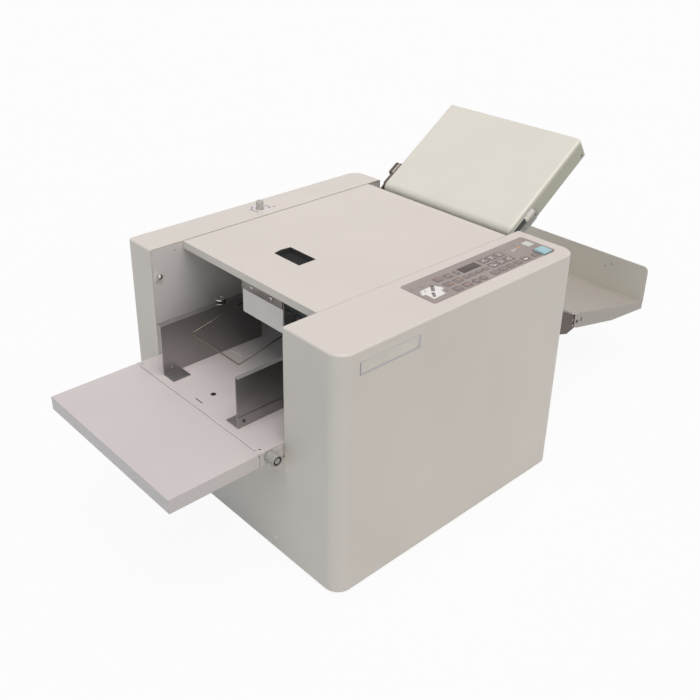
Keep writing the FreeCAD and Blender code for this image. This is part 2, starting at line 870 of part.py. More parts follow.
def feed_flap():
    """The hinged table extension, a pan with two holes in its outer edge."""
    outer = SEAM - s.seam_gap / 2 - s.flap_length
    body = pan("feed_flap", outer, SEAM - s.seam_gap / 2, TABLE_LOW, TABLE_TOP)
    level = TABLE_TOP - 16
    holes = [many_sided(PAPER_CENTRE + shift, level, 1.8, PIN_SIDES) for shift in (94, -96)]
    pocket(body, "YZ", outer - 1, outer + s.sheet_thick + 1, *holes)
    height = TABLE_TOP - s.flap_pin_drop
    bore = small_bore(SEAM, height, s.flap_pin_radius + s.running_gap)
    pins = []
    for notch_low, pin_low in ((INSIDE_FRONT - 1, INSIDE_FRONT), (INSIDE_BACK - 2.3, INSIDE_BACK - 12)):
        pocket(body, "XZ", notch_low, notch_low + 3.3, hinge_notch(-1))
        lug_low = pin_low + 2.5 if notch_low.value < 0 else pin_low + 0.5
        pad(body, "XZ", lug_low, lug_low + 9, hinge_profile(-1), bore)
        pins.append(rod("hinge_pin", "Y", SEAM, height, pin_low, pin_low + 12, s.flap_pin_radius, PIN_SIDES))
    group("flap_hinge_pins", pins)


def guides():
    """The two side guides, folded from bright sheet."""
    wall = s.sheet_thick
    back = new_body("back_guide")
    y = GUIDE_BACK
    profile = [(y, GUIDE_LOW), (y + wall, GUIDE_LOW), (y + wall, GUIDE_TOP - wall),
               (y + s.back_flange, GUIDE_TOP - wall), (y + s.back_flange, GUIDE_TOP), (y, GUIDE_TOP)]
    pad(back, "YZ", GUIDE_START, GUIDE_END, profile)
    tab_end = GUIDE_START + s.guide_tab_length
    tab = rect(y - s.guide_tab_width, y + wall, GUIDE_LOW, GUIDE_LOW + wall)
    pad(back, "YZ", GUIDE_START, tab_end, tab)
    hole = many_sided(GUIDE_START + 17, GUIDE_LOW + 11, 1.6, PIN_SIDES)
    pocket(back, "XZ", y - 1, y + wall + 1, hole)
    stud = small_bore(LOCK_X, y + s.back_flange / 2, 2 + s.running_gap)
    pocket(back, "XY", GUIDE_TOP - wall - 1, GUIDE_TOP + 1, stud)

    front = new_body("front_guide")
    y = GUIDE_FRONT
    profile = [(y, GUIDE_LOW), (y, GUIDE_TOP), (y - s.front_flange, GUIDE_TOP),
               (y - s.front_flange, GUIDE_TOP - wall), (y - wall, GUIDE_TOP - wall), (y - wall, GUIDE_LOW)]
    pad(front, "YZ", GUIDE_START, GUIDE_END, profile)
    tab = rect(y - wall, y + s.guide_tab_width, GUIDE_LOW, GUIDE_LOW + wall)
    pad(front, "YZ", GUIDE_START, tab_end, tab)
    foot_high = GUIDE_LOW + s.guide_foot_height
    foot = rect(y - wall * 2, y - wall, GUIDE_LOW, foot_high)
    pad(front, "YZ", GUIDE_START, GUIDE_END, foot)


def lock_knob():
    """Knurled thumb nut on the back guide's flange."""
    body = new_body("guide_lock_knob")
    x = LOCK_X
    y = GUIDE_BACK + s.back_flange / 2
    low = GUIDE_TOP + s.free_gap
    high = low + s.lock_knob_height
    pad(body, "XY", low, high, many_sided(x, y, s.lock_knob_radius, KNOB_SIDES))
    bevel_edges(body, 1.0, lambda edge: near(edge.BoundBox.ZMin, high))
    pad(body, "XY", GUIDE_TOP - 6, low, many_sided(x, y, 2, PIN_SIDES))


def rack(label, side, anchor, reach_y):
    """A toothed bar below the table with a post up to its guide."""
    body = new_body(label)
    pitch = s.rack_module * math.pi
    # root line of the teeth, seen from the pinion's axis
    root = PINION_RADIUS + s.rack_module * 1.25
    tip = PINION_RADIUS - s.rack_module
    x_root = PINION_X + root * side
    x_back = PINION_X + (root + s.rack_depth) * side
    x_tip = PINION_X + tip * side
    toward = 1 if anchor.value > PAPER_CENTRE.value else -1
    start = PAPER_CENTRE - reach_y * toward
    end = anchor + sized(3) * toward
    ys = (start, end) if toward > 0 else (end, start)
    xs = (x_root, x_back) if side > 0 else (x_back, x_root)
    pad(body, "XY", RACK_LOW, RACK_HIGH, rect(*xs, *ys))
    # post through the table's slot
    post_x = PINION_X + sized(18) * side
    wall = s.sheet_thick
    base_y = anchor if toward > 0 else anchor - wall
    pad(body, "XY", RACK_LOW, GUIDE_LOW, rect(post_x - 3, post_x + 3, base_y, base_y + wall))
    # one tooth, repeated along the bar
    half_root = pitch / 4 + s.rack_module * 1.25 * math.tan(math.radians(20)) - 0.1
    half_tip = pitch / 4 - s.rack_module * math.tan(math.radians(20)) - 0.1
    count = int((reach_y.value + s.guide_in_travel.value + 8) / pitch.value)
    steps = int(reach_y.value / pitch.value)
    first = PAPER_CENTRE - pitch * steps * toward
    tooth = [(x_root, first - half_root), (x_root, first + half_root),
             (x_tip, first + half_tip), (x_tip, first - half_tip)]
    feature = pad(body, "XY", RACK_LOW, RACK_HIGH, tooth)
    pattern = body.newObject("PartDesign::LinearPattern", f"{label}_teeth")
    pattern.Originals = [feature]
    axis = [f for f in body.Origin.OriginFeatures if f.Role == "Y_Axis"][0]
    pattern.Direction = (axis, [""])
    pattern.Reversed = toward < 0
    bind(pattern, "Length", pitch * (count - 1))
    pattern.Occurrences = count
    body.Tip = pattern
    doc.recompute()


def racks():
    """Both racks, on either side of the pinion."""
    reach = s.guide_out_travel + 12
    rack("back_guide_rack", 1, GUIDE_BACK, reach)
    rack("front_guide_rack", -1, GUIDE_FRONT, reach)


def involute_outline(teeth, module, backlash=0.12):
    """The corners of a spur gear, with each involute flank drawn as its chord."""
    pitch_radius = module * teeth / 2
    base = pitch_radius * math.cos(math.radians(20))
    root = pitch_radius - 1.25 * module
    tip = pitch_radius + module
    half = math.pi / (2 * teeth) - backlash / pitch_radius
    invo_pitch = math.tan(math.radians(20)) - math.radians(20)

    def half_angle(radius):
        if radius < base:
            return half + invo_pitch
        pressure = math.acos(base / radius)
        return half + invo_pitch - (math.tan(pressure) - pressure)

    points = []
    radii = (root, tip)
    for tooth in range(teeth):
        centre = 2 * math.pi * tooth / teeth
        flank = [(radius, centre - half_angle(radius)) for radius in radii]
        flank += [(radius, centre + half_angle(radius)) for radius in reversed(radii)]
        points += [Vector(r * math.cos(a), r * math.sin(a), 0) for r, a in flank]
    return points


def gear_shape(teeth, module, width, bore):
    """A spur gear about Z, with its first tooth on +X."""
    corners = involute_outline(teeth, module)
    face = Part.Face(Part.makePolygon(corners + corners[:1]))
    shape = face.extrude(Vector(0, 0, width))
    if bore > 0:
        shape = shape.cut(Part.makeCylinder(bore, width))
    return shape


def peg_shape(radius, length, start, sides):
    """A prism about Z that stands on a gear."""
    corners = [Vector(u.value, v.value, start) for u, v in many_sided(0, 0, radius, sides)]
    return Part.Face(Part.makePolygon(corners + corners[:1])).extrude(Vector(0, 0, length))


def pinion():
    """The pinion that ties the two racks, with its spindle in the table."""
    teeth = int(s.pinion_teeth.value)
    gear = gear_shape(teeth, s.rack_module.value, s.rack_thick.value, 0)
    length = (TABLE_TOP - RACK_HIGH).value
    spindle = peg_shape(s.spindle_radius.value, length, s.rack_thick.value, PIN_SIDES)
    part = doc.addObject("Part::Feature", "guide_pinion")
    part.Shape = gear.fuse(spindle).removeSplitter()
    turn = Rotation(Vector(0, 0, 1), 180.0 / teeth)
    part.Placement = Placement(Vector(PINION_X.value, PAPER_CENTRE.value, RACK_LOW.value), turn)
    finish(part, "guide_pinion")


def skew_knob():
    """Fluted knob at the table's front edge, with a ring recess in its face."""
    body = new_body("skew_knob")
    x = SKEW_X
    z = TABLE_TOP - s.skew_drop
    back = WELL_FRONT - s.free_gap
    face = back - s.skew_length
    outline = []
    for flute in range(12):
        for step, depth in ((-7.5, 0), (-3.5, 1.1), (3.5, 1.1), (7.5, 0)):
            angle = 30 * flute + step
            reach = s.skew_radius - depth
            outline.append((x + reach * cosine(angle), z + reach * sine(angle)))
    pad(body, "XZ", face, back, outline)
    pocket(body, "XZ", face, face + 2, many_sided(x, z, s.skew_radius - 3, KNOB_SIDES),
           many_sided(x, z, s.skew_radius - 5.5, KNOB_SIDES))
    pad(body, "XZ", back, INSIDE_FRONT + 5, many_sided(x, z, s.spindle_radius, PIN_SIDES))


# ---------------------------------------------------------------- lid


def top_lid():
    """The lid over the rollers, a pan with a window for the finger pull."""
    body = pan("top_lid", LID_FEED, LID_REAR, LID_LOW, LID_TOP)
    y_mid = (WELL_FRONT + WELL_BACK) / 2
    half = s.pull_width / 2
    window = rect(PULL_START, PULL_START + s.pull_length, y_mid - half, y_mid + half)
    pocket(body, "XY", LID_TOP - s.sheet_thick - 1, LID_TOP + 1, window)
    hole = small_bore(LID_PIN_X, LID_PIN_Z, s.lid_pin_radius + s.running_gap)
    pocket(body, "XZ", WELL_FRONT, INSIDE_FRONT + s.sheet_thick + 1, hole)
    pocket(body, "XZ", INSIDE_BACK - s.sheet_thick - 1, WELL_BACK, hole)


def lid_pull():
    """Recessed finger pull with a sloping feed-side wall."""
    body = new_body("lid_pull")
    y_mid = (WELL_FRONT + WELL_BACK) / 2
    half = s.pull_width / 2
    end = PULL_START + s.pull_length
    low = LID_TOP - s.pull_depth
    pad(body, "XY", low, LID_TOP, rect(PULL_START, end, y_mid - half, y_mid + half))
    wall = s.pull_wall
    profile = [(PULL_START + wall, LID_TOP + 1), (PULL_START + wall, LID_TOP - 0.8),
               (PULL_START + wall + 8, low + wall), (end - wall, low + wall), (end - wall, LID_TOP + 1)]
    pocket(body, "XZ", y_mid - half + wall, y_mid + half - wall, profile)


# ---------------------------------------------------------------- separator


def separator():
    """The bridge under the lid and the guard plate that hangs from it."""
    bridge = new_body("separator_bridge")
    high = LID_LOW - s.free_gap
    low = high - s.bridge_height
    start = BRIDGE_START
    end = start + s.bridge_length
    wall = s.sheet_thick
    channel = [(start, low), (start + wall, low), (start + wall, high - wall), (end - wall, high - wall),
               (end - wall, low), (end, low), (end, high), (start, high)]
    pad(bridge, "XZ", WELL_FRONT, WELL_BACK, channel)
    half = s.plate_width / 2
    y_low = PAPER_CENTRE - half
    y_high = PAPER_CENTRE + half
    hanger = rect(start, start + wall, s.plate_low + 3, low + 2)
    pad(bridge, "XZ", y_low + 4, y_high - 4, hanger)
    pivot = small_bore(BAIL_X, BAIL_Z, s.wire_radius + s.running_gap)
    ear = [(start, BAIL_Z - 8), (BAIL_X + 8, BAIL_Z - 8),
           (BAIL_X + 8, BAIL_Z + 8), (start, BAIL_Z + 22)]
    pad(bridge, "XZ", y_low + 4, y_low + 4 + wall, ear, pivot)
    pad(bridge, "XZ", y_high - 4 - wall, y_high - 4, ear, pivot)

    plate = block("separator_plate", start - s.plate_thick, start, y_low, y_high, s.plate_low, s.plate_high)
    finish(plate, "separator_plate")
    face = start - s.plate_thick
    strip = block("clamp_strip", face - 2, face, y_low, y_high, s.plate_high - s.strip_height, s.plate_high)
    finish(strip, "clamp_strip")


def sheet_stop():
    """The wall that the stack's leading edge meets, with the separator pad on it."""
    body = new_body("sheet_stop")
    x = s.table_end + 2
    top = TABLE_TOP + s.lift_travel - 3
    pad(body, "XZ", WELL_FRONT, WELL_BACK, rect(x, x + s.sheet_thick, TABLE_LOW - 12, top))
    wall = s.sheet_thick
    brow = x + s.infeed_top
    foot = brow + s.infeed_slope
    end = foot + s.infeed_end
    dip = top - s.infeed_dip
    lip = dip + s.infeed_rise
    infeed = [(x, top), (brow, top), (foot, dip), (end, lip), (end, lip + wall), (foot + 0.5, dip + wall),
              (brow + 0.5, top + wall), (x, top + wall)]
    pad(body, "XZ", WELL_FRONT, WELL_BACK, infeed)
    half = s.tire_width / 2 + 6
    pad_top = s.stack_top - s.free_gap
    pad(body, "XZ", PAPER_CENTRE - half, PAPER_CENTRE + half, rect(x + 1, brow - 4, top, pad_top))


def wire_bail():
    """A U of wire that lies on the stack, turned in at its pivots."""
    y_low = PAPER_CENTRE.value - s.bail_width.value / 2
    y_high = PAPER_CENTRE.value + s.bail_width.value / 2
    bar_x = (BAIL_X - s.bail_reach).value
    bar_z = (BAIL_Z - s.bail_drop).value
    inner = s.plate_width.value / 2 - 4 - s.sheet_thick.value * 2
    corners = [
        Vector(BAIL_X.value, PAPER_CENTRE.value - inner, BAIL_Z.value),
        Vector(BAIL_X.value, y_low, BAIL_Z.value),
        Vector(bar_x, y_low, bar_z),
        Vector(bar_x, y_high, bar_z),
        Vector(BAIL_X.value, y_high, BAIL_Z.value),
        Vector(BAIL_X.value, PAPER_CENTRE.value + inner, BAIL_Z.value),
    ]
    path = Part.makePolygon(bent(corners, 4.0))
    section = [Vector(corners[0].x + u.value, corners[0].y, corners[0].z + v.value)
               for u, v in many_sided(0, 0, s.wire_radius, 8)]
    sweep = Part.BRepOffsetAPI.MakePipeShell(path)
    sweep.setTransitionMode(1)
    sweep.add(Part.makePolygon(section + section[:1]))
    sweep.build()
    sweep.makeSolid()
    part = doc.addObject("Part::Feature", "wire_bail")
    part.Shape = sweep.shape()
    finish(part, "wire_bail")


def bent(corners, trim):
    """The corners of a wire, each bend taken in two steps."""
    points = [corners[0]]
    for before, corner, after in zip(corners, corners[1:], corners[2:]):
        points.append(corner + (before - corner).normalize() * trim)
        points.append(corner + (after - corner).normalize() * trim)
    return points + [corners[-1]]


# ---------------------------------------------------------------- rollers


def roller(label, centre, radius, shaft, wheels, y_end):
    """A shaft with wheels or a full-width roller on it, along Y."""
    x, z = centre
    pieces = [rod(f"{label}_shaft", "Y", x, z, FRAME_FRONT - 3, y_end, shaft)]
    for y_low, y_high in wheels:
        pieces.append(rod(f"{label}_wheel", "Y", x, z, y_low, y_high, radius))
    return finish(join(label, pieces), label)


def fold_rollers():
    """Four fold rollers and the gears that turn them together."""
    for number, centre in ROLLERS.items():
        wheels = [(WELL_FRONT + 6, WELL_BACK - 6)]
        roller(f"fold_roller_{number}", centre, ROLLER_RADIUS, s.journal_radius, wheels, GEAR_LOW)


def gear_phases():
    """Turn of each gear that puts every pair in mesh."""
    pitch = 360.0 / s.gear_teeth.value
    phases = {1: 0.0}
    for number in (2, 3, 4):
        x0, z0 = ROLLERS[number - 1]
        x1, z1 = ROLLERS[number]
        # angles run from +X towards -Z, the way a gear about +Y turns
        line = math.degrees(math.atan2(-(z1.value - z0.value), x1.value - x0.value))
        phases[number] = (2 * line + 180 - phases[number - 1] + pitch / 2) % pitch
    return phases


def fold_gears():
    """The gears on the back ends of the fold rollers."""
    phases = gear_phases()
    teeth = int(s.gear_teeth.value)
    for number, (x, z) in ROLLERS.items():
        shape = gear_shape(teeth, s.gear_module.value, s.gear_width.value, 0)
        if number == 2:
            length = s.belt_width.value + 2
            hub = peg_shape(s.drive_pulley_radius.value, length, s.gear_width.value, KNOB_SIDES)
            shape = shape.fuse(hub)
        part = doc.addObject("Part::Feature", f"fold_gear_{number}")
        part.Shape = shape
        to_y = Rotation(Vector(1, 0, 0), -90)
        spin = Rotation(Vector(0, 0, 1), phases[number])
        part.Placement = Placement(Vector(x.value, GEAR_LOW.value, z.value), to_y * spin)
        finish(part, f"fold_gear_{number}")


def feed_roller():
    """The feed shaft and its three tires."""
    shaft = rod("feed_shaft", "Y", s.feed_place, FEED_Z, FRAME_FRONT - 3, FRAME_BACK + 12, s.shaft_radius)
    finish(shaft, "feed_shaft")
    tires = []
    for step in (-1, 0, 1):
        low = PAPER_CENTRE + s.tire_pitch * step - s.tire_width / 2
        high = low + s.tire_width
        tire = rod("tire", "Y", s.feed_place, FEED_Z, low, high, s.tire_radius, TIRE_SIDES)
        around = s.shaft_radius / math.cos(math.pi / PIN_SIDES)
        bore = rod("tire_bore", "Y", s.feed_place, FEED_Z, low - 1, high + 1, around, PIN_SIDES)
        tires.append(cut("feed_tire", tire, [bore]))
    group("feed_tires", tires)


def exit_roller():
    """The rubber-covered roller that drives the folded sheets out."""
    wheels = [(WELL_FRONT + 12, WELL_BACK - 12)]
    radius = EXIT_WHEEL_RADIUS - s.free_gap
    roller("exit_roller", (EXIT_X, EXIT_Z), radius, s.shaft_radius, wheels, FRAME_BACK + 12)


# ---------------------------------------------------------------- fold plates


def tilted_body(label):
    """A body whose X runs up the fold plate and whose Z is square to it."""
    body = new_body(label)
    body.Placement = Placement(Vector(), Rotation(Vector(0, -1, 0), s.fold_angle.value))
    bind(body, "Placement.Base.x", FOLD_X)
    bind(body, "Placement.Base.z", s.fold_height)
    bind(body, "Placement.Rotation.Angle", s.fold_angle)
    return body


def fold_plate_cover():
    """The shell of the upper fold plate, open at its lower end."""
    body = tilted_body("fold_plate_cover")
    pad(body, "XY", -s.fold_thick, 0, rect(0, s.fold_length, FOLD_FRONT, FOLD_BACK))

    def local_box(edge):
        return edge.BoundBox

    def lower_edge(edge):
        box = local_box(edge)
        return runs_along(edge, "Y") and near(box.XMin, 0) and near(box.ZMin, 0)

    def top_side(edge):
        box = local_box(edge)
        long_side = runs_along(edge, "X") and near(box.ZMin, 0)
        end_side = runs_along(edge, "Z") and near(box.XMin, s.fold_length)
        return long_side or end_side

    round_edges(body, s.fold_edge_radius, lower_edge)
    round_edges(body, s.fold_side_radius, top_side)
    wall = s.fold_wall
    radius = s.fold_edge_radius
    inner = radius - wall
    end = s.fold_length - s.fold_side_wall
    cavity = [(-1, wall - s.fold_thick), (end, wall - s.fold_thick), (end, -wall), (radius, -wall)]
    for angle in (110, 130, 150, 170):
        cavity.append((radius + inner * cosine(angle), inner * sine(angle) - radius))
    cavity.append((-1, -radius))
    pocket(body, "XZ", FOLD_FRONT + s.fold_side_wall, FOLD_BACK - s.fold_side_wall, cavity)


def fold_plate_pocket():
    """The two sheets that the paper runs up between, tied at their top."""
    body = tilted_body("fold_plate_pocket")
    low = FOLD_FRONT + 6
    high = FOLD_BACK - 6
    end = s.fold_length - s.fold_side_wall
    gap = s.pocket_gap / 2
    middle = -s.pocket_drop
    wall = sized(1.0)
    start = -s.pocket_inside
    profile = [(start, middle - gap - wall), (end, middle - gap - wall), (end, middle + gap + wall),
               (start, middle + gap + wall), (start, middle + gap), (end - 4, middle + gap),
               (end - 4, middle - gap), (start, middle - gap)]
    pad(body, "XZ", low, high, profile)
    slot = rect(20, s.fold_length - 30, PAPER_CENTRE - 3, PAPER_CENTRE + 3)
    pocket(body, "XY", middle + gap - 0.5, middle + gap + wall + 1, slot)


def fold_stop():
    """The stop that the paper's edge meets, on a block that runs in the cover."""
    body = tilted_body("upper_fold_stop")
    start = s.stop_place
    end = start + s.stop_bar
    middle = -s.pocket_drop
    bar = s.pocket_gap / 2 - s.free_gap
    half = s.stop_width / 2
    pad(body, "XY", middle - bar, middle + bar, rect(start, end, PAPER_CENTRE - half, PAPER_CENTRE + half))
    pad(body, "XY", middle, middle + 6, rect(start, end, PAPER_CENTRE - 2.5, PAPER_CENTRE + 2.5))
    half = s.stop_block / 2
    pad(body, "XY", middle + 3, middle + 12,
        rect(start - 8, start - 8 + s.stop_block, PAPER_CENTRE - half, PAPER_CENTRE + half))


def fold_plate_rails():
    """The side rails that the fold plate slides in on."""
    pieces = []
    for low in (FOLD_FRONT - s.rail_thick - 0.2, FOLD_BACK + 0.2):
        body = doc.addObject("PartDesign::Body", "fold_rail")
        body.Placement = Placement(Vector(), Rotation(Vector(0, -1, 0), s.fold_angle.value))
        bind(body, "Placement.Base.x", FOLD_X)
        bind(body, "Placement.Base.z", s.fold_height)
        bind(body, "Placement.Rotation.Angle", s.fold_angle)
        low_edge = -s.rail_depth
        near_stay = -s.upper_stay_drop + 16
        end = s.rail_length
        profile = [(-s.rail_tail, low_edge - 4), (near_stay, low_edge - 4), (near_stay + 4, low_edge),
                   (end - 4, low_edge), (end, low_edge + 4), (end, -s.rail_lip - 6), (end - 6, -s.rail_lip),
                   (10, -s.rail_lip), (-s.rail_tail, -s.rail_lip - 8)]
        stay = many_sided(-s.upper_stay_drop, STAY_DROP, s.stay_radius, 6, s.fold_angle)
        pad(body, "XZ", low, low + s.rail_thick, profile, stay)
        pieces.append(body)
    group("fold_plate_rails", pieces)


def latch(label, face, outward):
    """A release slide with a raised finger cap on the outside of a rail."""
    body = tilted_body(label)
    strip = face + s.latch_strip_depth * outward
    cap = face + s.latch_cap_depth * outward
    strip_levels = (face, strip) if outward > 0 else (strip, face)
    cap_levels = (face, cap) if outward > 0 else (cap, face)
    pad(body, "XZ", *strip_levels, rect(s.latch_cap_place - 28, s.latch_cap_place + 7, -16, -5))
    cap_end = s.latch_cap_place + s.latch_cap_length
    pad(body, "XZ", *cap_levels, rect(s.latch_cap_place, cap_end, -17, -4))
    outer = cap.value
    bevel_edges(body, 2.0, lambda e: near(e.BoundBox.YMin, outer) and near(e.BoundBox.YMax, outer))


def latches():
    """Both release slides."""
    latch("front_latch", FOLD_FRONT - s.rail_thick - 0.4, -1)
    latch("back_latch", FOLD_BACK + s.rail_thick + 0.4, 1)


def lower_fold_plate():
    """The second pocket, which hangs below the second nip."""
    x2, z2 = ROLLERS[2]
    x3, z3 = ROLLERS[3]
    nip_x = (x2 + x3) / 2
    nip_z = (z2 + z3) / 2
    body = new_body("lower_fold_plate")
    body.Placement = Placement(Vector(), Rotation(Vector(0, -1, 0), s.second_nip_angle.value))
    bind(body, "Placement.Base.x", nip_x)
    bind(body, "Placement.Base.z", nip_z)
    bind(body, "Placement.Rotation.Angle", s.second_nip_angle)
    start = sized(-27)
    end = start - s.lower_plate_length
    gap = s.pocket_gap / 2
    wall = sized(1.0)
    profile = [(-gap - wall, start), (-gap - wall, end), (gap + wall, end), (gap + wall, start),
               (gap, start), (gap, end + 4), (-gap, end + 4), (-gap, start)]
    pad(body, "XZ", WELL_FRONT, WELL_BACK, profile)


# ---------------------------------------------------------------- delivery


def delivery_chute():
    """The sheet that the folded paper slides over, from the last nip to the tray."""
    body = new_body("delivery_chute")
    x_start = ROLLERS[4][0] + CENTRES / 2 + 4
    level = s.exit_height
    end_x, end_z = on_tray(-3, 0)
    wall = s.sheet_thick
    profile = [(x_start, level), (x_start, level - wall), (REAR, level - wall),
               (end_x, end_z - wall), (end_x, end_z), (REAR, level)]
    pad(body, "XZ", WELL_FRONT + 9, WELL_BACK - 9, profile)


def arm_outline():
    """The side view of an arm that carries the exit tray."""
    return [(REAR, s.exit_height + 7), (REAR, s.exit_height - 40), (REAR + 60, s.exit_height - 52),
            (TRAY_X - 14, s.tray_start_height - 44), (TRAY_PIN_X + 9, TRAY_PIN_Z - 12),
            (TRAY_PIN_X + 9, TRAY_PIN_Z + 9), (TRAY_X + 7, s.tray_start_height - 5),
            (TRAY_X - 28, s.tray_start_height + 13)]


def tray_brackets():
    """The two arms on the delivery panel that carry the chute and the tray."""
    pieces = []
    for low, flange in ((WELL_FRONT, 1), (WELL_BACK - s.arm_thick, -1)):
        body = doc.addObject("PartDesign::Body", "tray_arm")
        high = low + s.arm_thick
        pin = many_sided(TRAY_PIN_X, TRAY_PIN_Z, s.tray_pin_radius, PIN_SIDES)
        pad(body, "XZ", low, high, arm_outline(), pin)
        inward = (high, high + 6) if flange > 0 else (low - 6, low)
        pad(body, "XZ", *inward, rect(REAR, REAR + 2, s.exit_height - 38, s.exit_height - 4))
        end_x, end_z = on_tray(-3, 0)
        under = s.sheet_thick
        ledge = [(REAR, s.exit_height - under), (end_x, end_z - under), (end_x, end_z - under - 2),
                 (REAR, s.exit_height - under - 2)]
        shelf = (high, high + 14) if flange > 0 else (low - 14, low)
        pad(body, "XZ", *shelf, ledge)
        pieces.append(body)
    group("tray_brackets", pieces)


def exit_tray():
    """The tray: a sloping floor, an upright end wall and two side flanges."""
    body = new_body("exit_tray")
    wall = s.sheet_thick
    gap = sized(0.5)
    low = WELL_FRONT - gap - wall
    high = WELL_BACK + gap + wall
    floor_start = on_tray(0, 0)
    floor_end = on_tray(s.tray_length, 0)
    under_start = on_tray(0, -wall)
    top_z = floor_end[1] + s.tray_wall_height
    profile = [floor_start, floor_end, (floor_end[0], top_z), (floor_end[0] + wall, top_z),
               (floor_end[0] + wall, floor_end[1] - wall), under_start]
    pad(body, "XZ", low, high, profile)

    def wall_corner(edge):
        centre = edge.CenterOfMass
        return runs_along(edge, "X") and near(centre.z, top_z)

    round_edges(body, 11, wall_corner)
    start_x, start_z = on_tray(8, -0.7)
    end_x, end_z = on_tray(s.tray_length, -0.7)
    flange = [(start_x, start_z), (end_x, end_z), (end_x + wall, end_z - 15),
              (TRAY_X + 162, s.tray_start_height - 72), (TRAY_X + 16, s.tray_start_height - 39),
              (TRAY_X + 8, s.tray_start_height - 32)]
    pin = small_bore(TRAY_PIN_X, TRAY_PIN_Z, s.tray_pin_radius + s.running_gap)
    pad(body, "XZ", low, low + wall, flange, pin)
    pad(body, "XZ", high - wall, high, flange, pin)
    # room for the arms when the tray tips up
    side = gap + s.arm_thick + 0.5
    notch = rect(TRAY_X - 1, TRAY_X + 30, s.tray_start_height - 12, s.tray_start_height + 3)
    pocket(body, "XZ", low + wall, low + wall + side, notch)
    pocket(body, "XZ", high - wall - side, high - wall, notch)


# ---------------------------------------------------------------- controls


def control_panel():
    """The membrane panel on the front cover, with two key windows."""
    body = new_body("control_panel")
    outline = rect(PANEL_START, PANEL_END, PANEL_FRONT, PANEL_BACK)
    pad(body, "XY", TOP, PANEL_TOP, outline, key_window(*START_KEY), key_window(*STOP_KEY))

    def rear_corner(edge):
        centre = edge.CenterOfMass
        return runs_along(edge, "Z") and near(centre.x, PANEL_END)

    round_edges(body, 6, rear_corner)


def key(label, x, y, size, rise):
    """A raised push key with a stem over the circuit board."""
    body = new_body(label)
    flange = CEILING - s.key_travel
    top = PANEL_TOP + rise
    pad(body, "XY", flange, top, rect(x, x + size, y, y + size))
    bevel_edges(body, 1.0, lambda edge: near(edge.BoundBox.ZMin, top))
    pad(body, "XY", flange - 2, flange, rect(x - 1.5, x + size + 1.5, y - 1.5, y + size + 1.5))
    pad(body, "XY", flange - 7, flange - 2, many_sided(x + size / 2, y + size / 2, 3, PIN_SIDES))


def circuit_board():
    """The control board below the panel, on four posts."""
    board_top = CEILING - 12
    board = block("board", PANEL_START, PANEL_END, PANEL_FRONT - 5, PANEL_BACK, board_top - 1.6, board_top)
    posts = []
    for x in (PANEL_START + 8, PANEL_END - 40):
        for y in (PANEL_FRONT + 4, PANEL_BACK - 6):
            posts.append(rod("post", "Z", x, y, board_top, CEILING, 3, 6))
    finish(join("circuit_board", [board] + posts), "circuit_board")


def top_knob():
    """The small knob on the back cover."""
    body = new_body("adjusting_knob")
    low = TOP + s.free_gap
    high = low + s.knob_height
    pad(body, "XY", low, high, many_sided(s.knob_x, KNOB_Y, s.knob_radius, KNOB_SIDES))
    bevel_edges(body, 0.8, lambda edge: near(edge.BoundBox.ZMin, high))
    pad(body, "XY", CEILING - 10, low, many_sided(s.knob_x, KNOB_Y, s.spindle_radius, PIN_SIDES))
    pocket(body, "XY", low + 2, high + 1, rect(s.knob_x - 1, s.knob_x + 1, KNOB_Y + 6, KNOB_Y + 9))


def mains():
    """The inlet block on the delivery panel and its rocker switch."""
    body = new_body("mains_inlet")
    y, z = INLET_Y, s.inlet_z
    pad(body, "YZ", REAR - 24, REAR, inlet_window(y, z))
    pad(body, "YZ", REAR, REAR + 2, rect(y - 33, y + 29, z - 17, z + 17))
    pocket(body, "YZ", REAR - 16, REAR + 3, rect(y - 26, y - 2, z - 9, z + 9))
    pocket(body, "YZ", REAR - 16, REAR + 3, rect(y + 4, y + 22, z - 11, z + 11))
    for pin_y, pin_z in ((-20, -2), (-14, 4), (-8, -2)):
        pad(body, "YZ", REAR - 16, REAR - 4, rect(y + pin_y - 1, y + pin_y + 1, z + pin_z - 2, z + pin_z + 2))
    rocker = new_body("power_switch")
    slack = s.free_gap
    profile = [(REAR - 8, z - 9.5), (REAR + 0.5, z - 9), (REAR + 1.2, z),
               (REAR + 4.2, z + 8.5), (REAR - 8, z + 9.5)]
    pad(rocker, "XZ", y + 4 + slack, y + 22 - slack, profile)


# ---------------------------------------------------------------- drive


